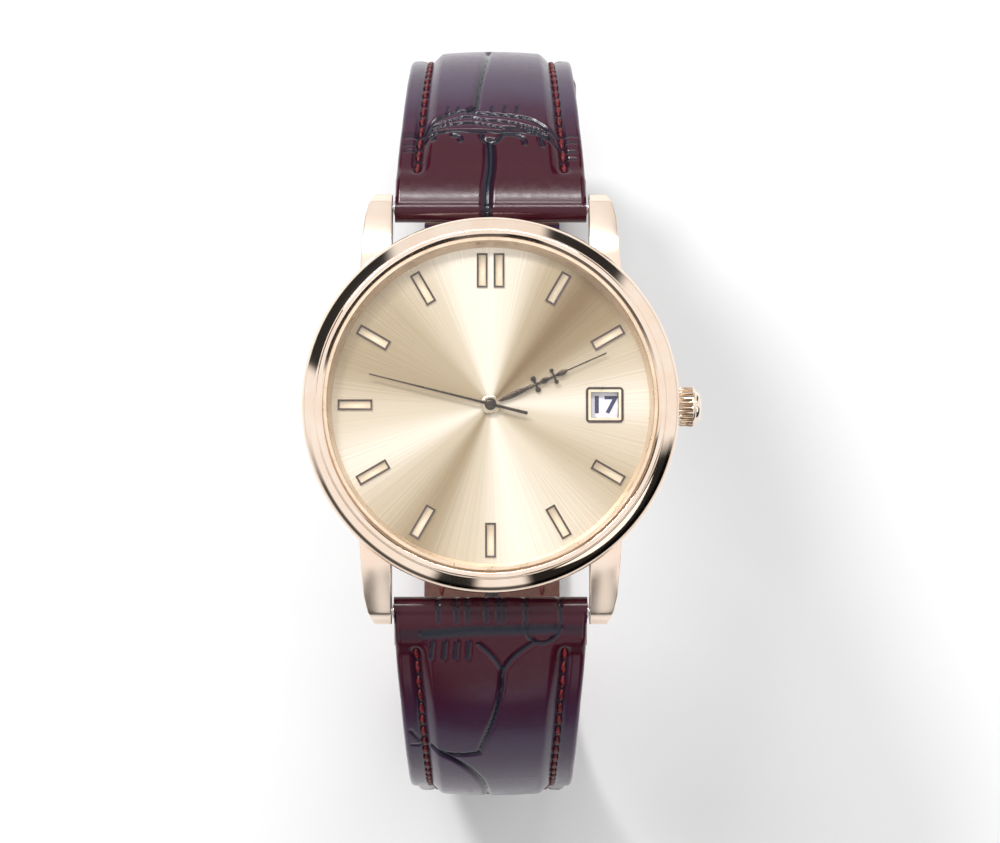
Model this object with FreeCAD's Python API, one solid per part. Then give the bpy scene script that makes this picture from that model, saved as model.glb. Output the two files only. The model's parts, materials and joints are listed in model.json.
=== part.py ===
"""Quartz wristwatch with a date, on a padded leather strap laid open in a ring.

Frame: millimetres, +Z up out of the dial, +X to the crown, +Y to the 12 o'clock mark.
The origin lies on the surface that the strap rests on, below the dial's centre.
The head is drawn from its own case back upwards and raised by CASE_BASE when it is written.
"""

import FreeCAD
import Part

import math
import os

# --- driving dimensions: head -------------------------------------------------
CASE_BASE = 64.0          # height of the case back above the rest plane
BEZEL_R = 19.0            # 38 mm case
BEZEL_LOW = 6.2
BEZEL_TOP = 7.95
CASE_R = 18.6
CASE_LOW = 0.3
BORE_R = 16.35            # bore that the movement ring stands in
DIAL_SEAT_R = 16.6
BACK_R = 17.2
BACK_TOP = 1.2
CRYSTAL_R = 16.45
CRYSTAL_LOW = 6.8
CRYSTAL_TOP = 8.0
GASKET_R = 16.75
DIAL_R = 16.4
DIAL_LOW = 5.0
DIAL_TOP = 5.4
VISIBLE_DIAL_R = 16.0

# --- driving dimensions: lugs and strap ----------------------------------------
LUG_GAP = 20.0
LUG_OUT = 13.2
LUG_TIP = 21.9
BAR_Y = 20.6              # spring bars, on either side of the dial
BAR_Z = 1.6               # above the case back
BAR_R = 0.75
BAR_TIP_R = 0.4
STRAP_THICK = 3.0
STRAP_BORE_R = 0.8
LINING = 0.9
PADDING = 1.1
STITCH_MARGIN = 2.6
WRAP = 4.0                # stretch of leather folded round a bar
BUCKLE_HALF_LENGTH = 80.0
TAIL_HALF_LENGTH = 114.8
FIRST_RUN = 2.0
FALL = 20.0               # degrees below level where the strap leaves the case
WIDEST_12 = 39.2          # centre line's greatest reach towards 12 o'clock
WIDEST_6 = 37.3
LOW_BEND_R = 16.5
STRAP_HALF_WIDTHS = ((67.0, 9.85), (65.8, 9.8), (64.0, 9.6), (61.0, 9.2), (57.0, 8.9), (52.0, 8.65),
                     (12.0, 8.0), (-1.0, 8.0))
HOLES = 7
HOLE_PITCH = 6.5
HOLE_R = 0.9
FIRST_HOLE_FROM_TIP = 29.0

# --- driving dimensions: buckle and keepers --------------------------------------
BUCKLE_BAR_R = 0.6
BUCKLE_BORE_R = 0.65
BUCKLE_REACH = 9.6        # from its bar to the middle of the front bar
BUCKLE_INSIDE = 8.2       # half the width between its legs
BUCKLE_OUTSIDE = 9.9
TONGUE_WIDTH = 2.2
TONGUE_SLOT = 2.8
KEEPER_WALL = 0.9
KEEPER_WIDTH = 5.0
FREE_KEEPER_Z = 25.0
FIXED_KEEPER_AT = 71.5    # along the buckle half, from the lug bar
FIXED_KEEPER_HALF = 8.25  # half the width inside each keeper
FREE_KEEPER_HALF = 8.65

# --- driving dimensions: movement, a 12-ligne calibre --------------------------------
PLATE_R = 12.95
MOVEMENT_R = 13.5
PLATE_LOW = 3.5
PLATE_TOP = 4.1
BRIDGE_LOW = 1.85
BRIDGE_TOP = 2.05
SHAKE = 0.03              # radial running clearance of a pivot
STAFF_R = 0.12
ROTOR_R = 0.75
BATTERY_R = 3.4
BATTERY_LOW = 1.75
BATTERY_TOP = 4.35
BATTERY_AT = (-2.5, -8.9)
SCREWS = ((-7.0, -8.6), (2.1, -8.9), (9.0, 6.0), (-6.0, 8.8))
SCREW_R = 0.3
STEM_Z = 3.4
STEM_R = 0.55
DATE_RING_R = 12.85
DATE_RING_IN = 10.0
DATE_RING_TOP = 4.7
DATE_AT = 11.5            # centre of the date window along +X
DAYS = 31                 # numbers on the date ring, and its inner teeth
WINDOW_X = 2.8
WINDOW_Y = 2.6

# teeth and modules of the going train, the motion work and the calendar
TRAIN = {
    "rotor_pinion": (6, 0.08),
    "fifth": (36, 0.08),
    "fifth_pinion": (8, 0.11),
    "seconds": (40, 0.11),
    "seconds_pinion": (8, 0.075),
    "third": (60, 0.075),
    "third_pinion": (8, 0.075 * 34 / 36),
    "centre": (64, 0.075 * 34 / 36),
    "cannon": (10, 0.1),
    "minute": (30, 0.1),
    "minute_pinion": (8, 0.1),
    "hour": (32, 0.1),
    "setting": (20, 0.1),
    "date_pinion": (24, 0.15),
    "date_drive": (48, 0.15),
}
THIRD_TURN = 200.0        # directions of the off-centre staffs, degrees from +X
FIFTH_TURN = 90.0
ROTOR_TURN = 50.0
DATE_DRIVE_TURN = 160.0

# hands, with their resting directions clockwise from 12
HOUR_HAND = 7.6
MINUTE_HAND = 12.8
SECONDS_HAND = 12.6
SECONDS_TAIL = 3.85
HOUR_DIAL_TURN = 65.5
MINUTE_DIAL_TURN = 66.0
SECONDS_DIAL_TURN = 284.0
HUB_R = 0.95


# --- drawing helpers --------------------------------------------------------------
def vec(x, y, z):
    return FreeCAD.Vector(x, y, z)


def disc(radius, low, high, x=0.0, y=0.0):
    """A cylinder standing along Z between two heights."""
    return Part.makeCylinder(radius, high - low, vec(x, y, low))


def ring(outer, inner, low, high, x=0.0, y=0.0):
    return disc(outer, low, high, x, y).cut(disc(inner, low - 0.1, high + 0.1, x, y))


def block(x_span, y_span, z_span):
    corner = vec(x_span[0], y_span[0], z_span[0])
    sides = [span[1] - span[0] for span in (x_span, y_span, z_span)]
    return Part.makeBox(sides[0], sides[1], sides[2], corner)


def rod_x(radius, start, end, y, z):
    """A cylinder lying along X."""
    return Part.makeCylinder(radius, end - start, vec(start, y, z), vec(1, 0, 0))


def joined(shapes):
    whole = shapes[0]
    for shape in shapes[1:]:
        whole = whole.fuse(shape)
    return whole.removeSplitter()


def outline(points, place):
    """A closed wire. A point is (a, b), or (a, b, "via") for the middle of an arc."""
    edges = []
    count = len(points)
    i = 0
    while i < count:
        here = place(points[i][0], points[i][1])
        after = points[(i + 1) % count]
        if len(after) == 3:
            end = points[(i + 2) % count]
            middle = place(after[0], after[1])
            edges.append(Part.Arc(here, middle, place(end[0], end[1])).toShape())
            i += 2
        else:
            edges.append(Part.LineSegment(here, place(after[0], after[1])).toShape())
            i += 1
    return Part.Wire(edges)


def turned(points, axis=vec(0, 0, 1), place=lambda r, z: vec(r, 0, z)):
    """A solid of revolution from an outline of radius and height."""
    face = Part.Face(outline(points, place))
    return face.revolve(vec(0, 0, 0), axis, 360)


def prism(points, low, high):
    """An outline in X and Y, extruded between two heights."""
    face = Part.Face(outline(points, lambda x, y: vec(x, y, low)))
    return face.extrude(vec(0, 0, high - low))


def spun(shape, degrees, x=0.0, y=0.0):
    copy = shape.copy()
    copy.rotate(vec(x, y, 0), vec(0, 0, 1), degrees)
    return copy


def polar(distance, degrees):
    angle = math.radians(degrees)
    return distance * math.cos(angle), distance * math.sin(angle)


# --- gears ---------------------------------------------------------------------------
def pitch_r(name):
    teeth, module = TRAIN[name]
    return teeth * module / 2


def gear(name, low, high, at, towards, gap=False):
    """A spur gear with a tooth, or a gap, pointing in the direction of its mate."""
    teeth, module = TRAIN[name]
    tip = pitch_r(name) + 0.85 * module
    root = pitch_r(name) - 1.15 * module
    step = 360.0 / teeth
    first = towards + (step / 2 if gap else 0.0)
    points = []
    for tooth in range(teeth):
        middle = first + tooth * step
        for radius, share in ((root, -0.31), (tip, -0.12), (tip, 0.12), (root, 0.31)):
            x, y = polar(radius, middle + share * step)
            points.append((at[0] + x, at[1] + y))
    return prism(points, low, high)


def centres(one, other):
    """The distance between two meshing gears."""
    return pitch_r(one) + pitch_r(other)


THIRD_AT = polar(centres("seconds_pinion", "third"), THIRD_TURN)
FIFTH_AT = polar(centres("fifth_pinion", "seconds"), FIFTH_TURN)
ROTOR_STEP = polar(centres("rotor_pinion", "fifth"), ROTOR_TURN)
ROTOR_AT = (FIFTH_AT[0] + ROTOR_STEP[0], FIFTH_AT[1] + ROTOR_STEP[1])
MINUTE_AT = (centres("cannon", "minute"), 0.0)
SETTING_AT = (MINUTE_AT[0] + centres("minute", "setting"), 0.0)
DATE_DRIVE_AT = polar(centres("date_pinion", "date_drive"), DATE_DRIVE_TURN)
CENTRE = (0.0, 0.0)


def staff(at, low, high, radius=STAFF_R):
    return disc(radius, low, high, at[0], at[1])


# --- case ----------------------------------------------------------------------------
def lug(side_x, side_y):
    """One horn of the case, with the blind hole for the tip of its spring bar."""
    profile = [(12.0, 5.9), (15.2, 5.85), (19.0, 5.1, "via"), (21.3, 3.1),
               (22.0, 1.9, "via"), (21.3, 0.55), (20.6, 0.15, "via"), (19.8, 0.15), (12.0, 0.9)]
    face = Part.Face(outline(profile, lambda y, z: vec(LUG_GAP / 2, y, z)))
    horn = face.extrude(vec(LUG_OUT - LUG_GAP / 2, 0, 0))
    plan = [(LUG_GAP / 2, 11.0), (LUG_OUT, 11.0), (LUG_OUT, 13.6), (12.7, 19.2),
            (12.3, 20.9), (11.5, LUG_TIP), (LUG_GAP / 2, LUG_TIP)]
    horn = horn.common(prism(plan, -0.5, 6.5))
    corners = [edge for edge in horn.Edges if edge.BoundBox.XLength < 0.01 and edge.BoundBox.YLength < 0.01
               and edge.BoundBox.YMin > 16.0]
    horn = horn.makeFillet(0.2, corners)
    hole = rod_x(BAR_TIP_R + 0.02, LUG_GAP / 2 - 0.1, LUG_GAP / 2 + 1.0, BAR_Y, BAR_Z)
    horn = horn.cut(hole)
    if side_x < 0:
        horn = horn.mirror(vec(0, 0, 0), vec(1, 0, 0))
    if side_y < 0:
        horn = horn.mirror(vec(0, 0, 0), vec(0, 1, 0))
    return horn


def case_middle():
    wall = turned([(15.0, 0.5), (17.7, CASE_LOW), (18.2, 0.5, "via"), (CASE_R, 1.3),
                   (CASE_R, BEZEL_LOW), (15.0, BEZEL_LOW)])
    body = wall
    for side_x in (1, -1):
        for side_y in (1, -1):
            body = body.fuse(lug(side_x, side_y))
    for bore in (disc(BACK_R + 0.02, -1.0, BACK_TOP), disc(BACK_R - 0.05, BACK_TOP, 1.5),
                 disc(BORE_R, 1.0, DIAL_LOW), disc(DIAL_SEAT_R, DIAL_LOW, BEZEL_LOW + 1)):
        body = body.cut(bore)
    return body.cut(rod_x(1.0, 15.0, 19.5, 0, STEM_Z)).removeSplitter()


def bezel():
    """Two polished steps: a slope at the glass, a flat ridge and a wide rounded shoulder."""
    return turned([(DIAL_SEAT_R, BEZEL_LOW), (BEZEL_R - 0.1, BEZEL_LOW), (BEZEL_R, BEZEL_LOW + 0.1),
                   (BEZEL_R, 6.45), (18.72, 7.05, "via"), (17.85, 7.5), (17.66, 7.62, "via"),
                   (17.6, 7.8), (17.55, 7.91, "via"), (17.42, BEZEL_TOP), (17.12, BEZEL_TOP),
                   (GASKET_R + 0.05, 7.68), (GASKET_R, 7.6), (GASKET_R, CRYSTAL_LOW),
                   (DIAL_SEAT_R, CRYSTAL_LOW)])


def crystal():
    edge = 0.18
    return turned([(0, CRYSTAL_LOW), (CRYSTAL_R, CRYSTAL_LOW), (CRYSTAL_R, CRYSTAL_TOP - edge),
                   (CRYSTAL_R - edge, CRYSTAL_TOP), (0, CRYSTAL_TOP)])


def crystal_gasket():
    return ring(GASKET_R, CRYSTAL_R, CRYSTAL_LOW, 7.6)


def dial_ring():
    """The sloping flange between the dial and the glass."""
    return turned([(VISIBLE_DIAL_R, DIAL_TOP), (DIAL_SEAT_R - 0.05, DIAL_TOP),
                   (DIAL_SEAT_R - 0.05, CRYSTAL_LOW), (VISIBLE_DIAL_R + 0.4, CRYSTAL_LOW)])


def case_back():
    plate = turned([(0, 0), (16.4, 0), (17.0, 0.25, "via"), (BACK_R, 0.7),
                    (BACK_R, BACK_TOP), (0, BACK_TOP)])
    return plate.fuse(ring(16.3, 15.5, BACK_TOP, 2.2)).removeSplitter()


def case_back_gasket():
    return ring(BACK_R - 0.05, BORE_R + 0.1, BACK_TOP, 1.5)


# --- dial side -------------------------------------------------------------------------
def date_window(low, high, grow=0.0):
    half_x = WINDOW_X / 2 + grow
    half_y = WINDOW_Y / 2 + grow
    return block((DATE_AT - half_x, DATE_AT + half_x), (-half_y, half_y), (low, high))


def dial():
    plate = disc(DIAL_R, DIAL_LOW, DIAL_TOP).cut(disc(HUB_R, DIAL_LOW - 1, DIAL_TOP + 1))
    plate = plate.cut(date_window(DIAL_LOW - 1, DIAL_TOP + 1))
    for turn in (60, 240):
        x, y = polar(14.7, turn)
        plate = plate.fuse(disc(0.35, DIAL_LOW - 1.0, DIAL_LOW, x, y))
    return plate


def baton(offset=0.0):
    """An applied mark at 12 o'clock: a frame with a sunk middle."""
    inner, outer, half, wall, top = 11.9, 15.4, 0.55, 0.2, 5.6
    bar = block((offset - half, offset + half), (inner, outer), (DIAL_TOP, top))
    sunk = block((offset - half + wall, offset + half - wall), (inner + wall, outer - wall),
                 (top - 0.1, top + 1))
    return bar.cut(sunk)


def hour_markers():
    marks = [baton(-0.85), baton(0.85)]
    for hour in (1, 2, 4, 5, 6, 7, 8, 9, 10, 11):
        marks.append(spun(baton(), -30 * hour))
    return Part.makeCompound(marks)


def date_frame():
    frame = date_window(DIAL_TOP, DIAL_TOP + 0.15, 0.5)
    upright = [edge for edge in frame.Edges if edge.BoundBox.ZLength > 0.1]
    frame = frame.makeFillet(0.4, upright)
    return frame.cut(date_window(DIAL_TOP - 1, DIAL_TOP + 1))


def lobed_hand(length, lobes_at, leaf, z, bore_r):
    """A dress hand along +Y: hub, leaf-shaped stem, a pair of balls and a tapering point."""
    thick = 0.12
    hub = disc(HUB_R, z, z + thick)
    start = HUB_R * 0.8
    stem = prism([(-0.12, start), (-0.3, (start + lobes_at) / 2, "via"), (-0.12, lobes_at),
                  (0.12, lobes_at), (0.3, (start + lobes_at) / 2, "via"), (0.12, start)], z, z + thick)
    balls = [disc(0.24, z, z + thick, side * 0.55, lobes_at) for side in (-1, 1)]
    balls.append(block((-0.5, 0.5), (lobes_at - 0.1, lobes_at + 0.1), (z, z + thick)))
    tip = lobes_at + leaf
    petal = prism([(0, lobes_at - 0.3), (-0.42, lobes_at + leaf * 0.35, "via"), (0, tip),
                   (0.42, lobes_at + leaf * 0.35, "via")], z, z + thick)
    needle = prism([(-0.1, lobes_at), (-0.05, length), (0.05, length), (0.1, lobes_at)], z, z + thick)
    hand = joined([hub, stem] + balls + [petal, needle])
    return hand.cut(disc(bore_r, z - 1, z + 1))


def hour_hand():
    return spun(lobed_hand(HOUR_HAND, 5.0, 1.4, 5.6, 0.8), -HOUR_DIAL_TURN)


def minute_hand():
    return spun(lobed_hand(MINUTE_HAND, 7.0, 1.4, 5.95, 0.5), -MINUTE_DIAL_TURN)


def seconds_hand():
    z = 6.3
    needle = prism([(-0.16, -SECONDS_TAIL), (0.16, -SECONDS_TAIL), (0.07, 0),
                    (0.05, SECONDS_HAND), (-0.05, SECONDS_HAND), (-0.07, 0)], z, z + 0.1)
    cap = turned([(0, z), (0.6, z), (0.6, z + 0.12), (0.42, z + 0.24, "via"), (0.15, z + 0.3), (0, z + 0.3)])
    hand = joined([needle, cap]).cut(disc(0.18, z - 1, z + 0.15))
    return spun(hand, -SECONDS_DIAL_TURN)


# --- movement: frame, power and electronics ----------------------------------------------
def movement_holder():
    upper = ring(16.3, MOVEMENT_R + 0.05, 2.4, DIAL_LOW)
    lower = ring(15.2, MOVEMENT_R + 0.05, 1.45, 2.4)
    body = upper.fuse(lower)
    for turn in (60, 240):
        x, y = polar(14.7, turn)
        body = body.cut(disc(0.37, DIAL_LOW - 1.1, DIAL_LOW + 1, x, y))
    return body.cut(rod_x(0.9, 12.0, 18.0, 0, STEM_Z)).removeSplitter()


def main_plate():
    body = disc(MOVEMENT_R, PLATE_LOW, PLATE_TOP)
    body = body.fuse(ring(MOVEMENT_R, PLATE_R, BRIDGE_LOW, DIAL_LOW))
    for x, y in SCREWS:
        body = body.fuse(ring(0.7, SCREW_R, BRIDGE_TOP, PLATE_LOW, x, y))
    for x, y in LEVER_PIVOTS:
        body = body.fuse(disc(0.28, 2.15, PLATE_LOW, x, y))
    for at, top in ((MINUTE_AT, 4.5), (SETTING_AT, 4.45), (DATE_DRIVE_AT, 4.75)):
        body = body.fuse(disc(0.2, PLATE_TOP, top, at[0], at[1]))
    for at in (THIRD_AT, FIFTH_AT, ROTOR_AT):
        body = body.cut(staff(at, PLATE_LOW - 0.1, PLATE_LOW + 0.35, STAFF_R + SHAKE))
    body = body.cut(disc(0.38, PLATE_LOW - 1, PLATE_TOP + 1))
    body = body.cut(disc(BATTERY_R + 0.05, 1.0, DIAL_LOW - 0.5, BATTERY_AT[0], BATTERY_AT[1]))
    body = body.cut(block((3.9, 5.7), (-0.45, 0.45), (PLATE_LOW - 1, PLATE_TOP - 0.25)))
    body = body.cut(block((5.55, 8.9), (-1.1, 1.1), (PLATE_LOW - 1, PLATE_TOP)))
    body = body.cut(block((8.8, 12.9), (-0.65, 0.65), (PLATE_LOW - 1, PLATE_TOP)))
    return body.cut(rod_x(STEM_R + 0.05, 12.0, 14.0, 0, STEM_Z)).removeSplitter()


def train_bridge():
    body = disc(PLATE_R - 0.2, BRIDGE_LOW, BRIDGE_TOP)
    body = body.cut(disc(BATTERY_R + 0.15, 1, 3, BATTERY_AT[0], BATTERY_AT[1]))
    for x, y in SCREWS:
        body = body.cut(disc(SCREW_R, 1, 3, x, y))
    for at in (THIRD_AT, FIFTH_AT, ROTOR_AT, CENTRE):
        body = body.cut(staff(at, 1, 3, STAFF_R + SHAKE))
    return body


def movement_screws():
    screws = []
    for x, y in SCREWS:
        head = disc(0.6, BRIDGE_LOW - 0.3, BRIDGE_LOW, x, y)
        if y < 0:
            head.translate(vec(0, 0, -0.15))
        shank = disc(SCREW_R, head.BoundBox.ZMax, PLATE_LOW, x, y)
        slot = block((x - 0.7, x + 0.7), (y - 0.06, y + 0.06), (1.0, head.BoundBox.ZMin + 0.12))
        screws.append(head.fuse(shank).removeSplitter().cut(slot))
    return Part.makeCompound(screws)


def battery():
    x, y = BATTERY_AT
    can = disc(BATTERY_R, BATTERY_LOW + 0.45, BATTERY_TOP, x, y)
    cap = disc(BATTERY_R - 0.45, BATTERY_LOW, BATTERY_LOW + 0.5, x, y)
    return can.fuse(cap).removeSplitter()


def battery_clamp():
    """A flat spring across the cell, under the heads of two screws."""
    low, high = BRIDGE_LOW - 0.15, BRIDGE_LOW
    left, right = SCREWS[0], SCREWS[1]
    strip = block((left[0], right[0]), (left[1] - 0.6, left[1] + 0.4), (low, high))
    eyes = [disc(0.75, low, high, x, y) for x, y in (left, right)]
    body = joined([strip] + eyes)
    for x, y in (left, right):
        body = body.cut(disc(SCREW_R, 1, 3, x, y))
    return body.cut(disc(BATTERY_R, BATTERY_LOW, 3, BATTERY_AT[0], BATTERY_AT[1]))


def circuit_board():
    inner, outer, half = 6.6, 12.6, 27
    points = [polar(inner, 180 - half), polar(outer, 180 - half), polar(outer, 180) + ("via",),
              polar(outer, 180 + half), polar(inner, 180 + half), polar(inner, 180) + ("via",)]
    return prism(points, PLATE_LOW - 0.2, PLATE_LOW)


def quartz_oscillator():
    return Part.makeCylinder(0.58, 4.6, vec(-9.0, -2.1, PLATE_LOW - 0.8), vec(0, 1, 0))


def control_chip():
    return block((-11.7, -10.1), (-0.8, 0.8), (PLATE_LOW - 0.7, PLATE_LOW - 0.2))


COIL_Y = 7.6
CORE_Z = (2.55, 2.95)


def coil_core():
    return block((-4.4, 6.4), (COIL_Y - 0.45, COIL_Y + 0.45), CORE_Z)


def coil_winding():
    body = block((-2.6, 4.6), (COIL_Y - 0.9, COIL_Y + 0.9), (2.12, 3.38))
    lengthwise = [edge for edge in body.Edges if edge.BoundBox.XLength > 1]
    body = body.makeFillet(0.5, lengthwise)
    return body.cut(block((-5, 7), (COIL_Y - 0.45, COIL_Y + 0.45), CORE_Z))


def stator():
    """The soft-iron plate that carries the coil's field round the rotor."""
    low, high = CORE_Z[1], CORE_Z[1] + 0.4
    cross = block((-4.4, 6.4), (3.3, 5.4), (low, high))
    legs = [block((-4.4, -3.0), (5.3, 8.05), (low, high)), block((5.0, 6.4), (5.3, 8.05), (low, high))]
    eye = disc(ROTOR_R + 0.5, low, high, ROTOR_AT[0], ROTOR_AT[1])
    body = joined([cross] + legs + [eye])
    return body.cut(disc(ROTOR_R + 0.2, 1, 5, ROTOR_AT[0], ROTOR_AT[1]))


# --- movement: going train and motion work --------------------------------------------
def rotor():
    magnet = disc(ROTOR_R, 2.9, 3.4, ROTOR_AT[0], ROTOR_AT[1])
    pinion = gear("rotor_pinion", 2.12, 2.36, ROTOR_AT, ROTOR_TURN + 180)
    return joined([magnet, pinion, staff(ROTOR_AT, 1.9, 3.8)])


def fifth_wheel():
    wheel = gear("fifth", 2.16, 2.3, FIFTH_AT, ROTOR_TURN, gap=True)
    pinion = gear("fifth_pinion", 2.4, 2.66, FIFTH_AT, FIFTH_TURN + 180)
    return joined([wheel, pinion, staff(FIFTH_AT, 1.9, 3.8)])


def seconds_wheel():
    wheel = gear("seconds", 2.45, 2.6, CENTRE, FIFTH_TURN, gap=True)
    pinion = gear("seconds_pinion", 2.7, 3.0, CENTRE, THIRD_TURN)
    return joined([wheel, pinion, staff(CENTRE, 1.9, 3.0), staff(CENTRE, 2.9, 6.45, 0.18)])


def third_wheel():
    wheel = gear("third", 2.8, 2.95, THIRD_AT, THIRD_TURN + 180, gap=True)
    pinion = gear("third_pinion", 3.05, 3.3, THIRD_AT, THIRD_TURN + 180)
    return joined([wheel, pinion, staff(THIRD_AT, 1.9, 3.8)])


def centre_wheel():
    wheel = gear("centre", 3.1, 3.25, CENTRE, THIRD_TURN, gap=True)
    tube = disc(0.34, 3.06, 6.0)
    return joined([wheel, tube]).cut(disc(0.22, 3, 7))


def cannon_pinion():
    pinion = gear("cannon", 4.14, 4.3, CENTRE, 0)
    return joined([pinion, disc(0.5, 4.3, 6.1)]).cut(disc(0.34, 4, 7))


def minute_wheel():
    wheel = gear("minute", 4.14, 4.28, MINUTE_AT, 180, gap=True)
    pinion = gear("minute_pinion", 4.28, 4.5, MINUTE_AT, 180)
    bore = disc(0.2 + SHAKE, 4, 5, MINUTE_AT[0], MINUTE_AT[1])
    return joined([wheel, pinion]).cut(bore)


def hour_wheel():
    wheel = gear("hour", 4.34, 4.5, CENTRE, 0, gap=True)
    calendar = gear("date_pinion", 4.55, 4.7, CENTRE, DATE_DRIVE_TURN)
    return joined([wheel, disc(1.0, 4.34, 4.76), calendar, disc(0.8, 4.34, 5.75)]).cut(disc(0.53, 4, 6))


def setting_wheel():
    wheel = gear("setting", 4.16, 4.34, SETTING_AT, 180, gap=False)
    return wheel.cut(disc(0.2 + SHAKE, 4, 5, SETTING_AT[0], SETTING_AT[1]))


# --- calendar ---------------------------------------------------------------------------
def date_ring():
    """The printed ring, with one inner tooth for each day of the month."""
    low = DATE_RING_TOP - 0.2
    step = 360.0 / DAYS
    depth = 0.42
    points = []
    for day in range(DAYS):
        middle = (day + 0.5) * step
        for radius, share in ((DATE_RING_IN, -0.3), (DATE_RING_IN - depth, -0.1),
                              (DATE_RING_IN - depth, 0.1), (DATE_RING_IN, 0.3)):
            points.append(polar(radius, middle + share * step))
    opening = prism(points, low - 1, DATE_RING_TOP + 1)
    return disc(DATE_RING_R, low, DATE_RING_TOP).cut(opening)


def date_drive_wheel():
    x, y = DATE_DRIVE_AT
    wheel = gear("date_drive", 4.55, 4.7, DATE_DRIVE_AT, DATE_DRIVE_TURN + 180, gap=True)
    reach = DATE_RING_IN - 0.2 - centres("date_pinion", "date_drive")
    finger = prism([(x - 0.25, y - 3.4), (x + 0.25, y - 3.4), (x + 0.04, y - reach),
                    (x - 0.04, y - reach)], 4.55, 4.7)
    body = joined([wheel, disc(0.5, 4.14, 4.55, x, y), finger])
    return body.cut(disc(0.2 + SHAKE, 4, 5, x, y))


def calendar_cover():
    plate = disc(DATE_RING_IN - 0.05, 4.8, DIAL_LOW)
    feet = [disc(0.5, PLATE_TOP, 4.8, x, y) for x, y in ((6.5, -4.5), (6.5, 5.0), (-6.5, -5.0))]
    return joined([plate] + feet).cut(disc(1.1, 4, 6))


# --- keyless works -----------------------------------------------------------------------
CLUTCH_X = (6.3, 7.7)
LEVER_PIN_X = 10.55
YOKE_PIN_X = 7.05
LEVER_ARM = 2.5
LEVER_PIVOTS = ((LEVER_PIN_X, LEVER_ARM), (YOKE_PIN_X, -LEVER_ARM))
STEM_SQUARE = 0.7


def winding_stem():
    body = rod_x(STEM_R, 8.4, 20.8, 0, STEM_Z)
    half = STEM_SQUARE / 2
    square = block((4.6, 8.4), (-half, half), (STEM_Z - half, STEM_Z + half))
    body = joined([body, square, rod_x(0.3, 4.0, 4.6, 0, STEM_Z)])
    groove = rod_x(STEM_R + 0.2, LEVER_PIN_X - 0.25, LEVER_PIN_X + 0.25, 0, STEM_Z)
    return body.cut(groove.cut(rod_x(0.3, 10, 11, 0, STEM_Z)))


def sliding_pinion():
    """The clutch: it turns with the stem's square and slides along it."""
    body = rod_x(0.95, CLUTCH_X[0], CLUTCH_X[1], 0, STEM_Z)
    neck = rod_x(1.2, YOKE_PIN_X - 0.2, YOKE_PIN_X + 0.2, 0, STEM_Z)
    body = body.cut(neck.cut(rod_x(0.6, 6, 8, 0, STEM_Z)))
    half = STEM_SQUARE / 2 + SHAKE
    body = body.cut(block((6, 8), (-half, half), (STEM_Z - half, STEM_Z + half)))
    for tooth in range(12):
        notch = block((CLUTCH_X[0] - 0.1, CLUTCH_X[0] + 0.15), (-0.08, 0.08),
                      (STEM_Z + 0.62, STEM_Z + 1.2))
        notch.rotate(vec(0, 0, STEM_Z), vec(1, 0, 0), tooth * 30)
        body = body.cut(notch)
    return body


def setting_lever():
    """It turns on its post as the stem is pulled, driven by a pin in the stem's groove."""
    x, y = LEVER_PIVOTS[0]
    low, high = 2.35, 2.6
    arm = block((x - 0.35, x + 0.35), (0, y), (low, high))
    body = joined([arm, disc(0.6, low, high, x, y), disc(0.35, low, high, x, 0),
                   disc(0.2, high, 3.05, x, 0)])
    return body.cut(disc(0.28 + SHAKE, 1, 4, x, y))


def yoke():
    """It moves the clutch the other way, with a pin in the clutch's neck."""
    x, y = LEVER_PIVOTS[1]
    low, high = 2.16, 2.36
    arm = block((x - 0.3, x + 0.3), (y, 0), (low, high))
    body = joined([arm, disc(0.6, low, high, x, y), disc(0.3, low, high, x, 0),
                   disc(0.15, high, 2.7, x, 0)])
    return body.cut(disc(0.28 + SHAKE, 1, 4, x, y))


def crown_tube():
    tube = rod_x(1.0, BORE_R, 20.0, 0, STEM_Z)
    return tube.cut(rod_x(STEM_R + 0.05, 15.0, 21.0, 0, STEM_Z))


def crown_seal():
    return rod_x(1.28, 19.15, 19.6, 0, STEM_Z).cut(rod_x(1.03, 19, 20, 0, STEM_Z))


def crown():
    """A fluted knob with a smaller domed end."""
    radius, start, shoulder = 2.0, 19.05, 20.7
    profile = [(0, start), (radius - 0.15, start), (radius, start + 0.15), (radius, shoulder - 0.25),
               (radius - 0.08, shoulder - 0.07, "via"), (radius - 0.25, shoulder), (1.55, shoulder + 0.02),
               (1.45, 21.05, "via"), (1.1, 21.22), (0.6, 21.3, "via"), (0.2, 21.32), (0, 21.32)]
    knob = turned(profile, vec(1, 0, 0), lambda r, x: vec(x, 0, r))
    flutes = 24
    for flute in range(flutes):
        angle = 2 * math.pi * flute / flutes
        groove = rod_x(0.16, start - 0.5, shoulder - 0.3, radius * math.cos(angle),
                       radius * math.sin(angle))
        knob = knob.cut(groove)
    knob = knob.cut(rod_x(1.3, 18.0, 20.2, 0, 0)).cut(rod_x(STEM_R, 20.0, 20.8, 0, 0))
    knob.translate(vec(0, 0, STEM_Z))
    return knob


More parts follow.
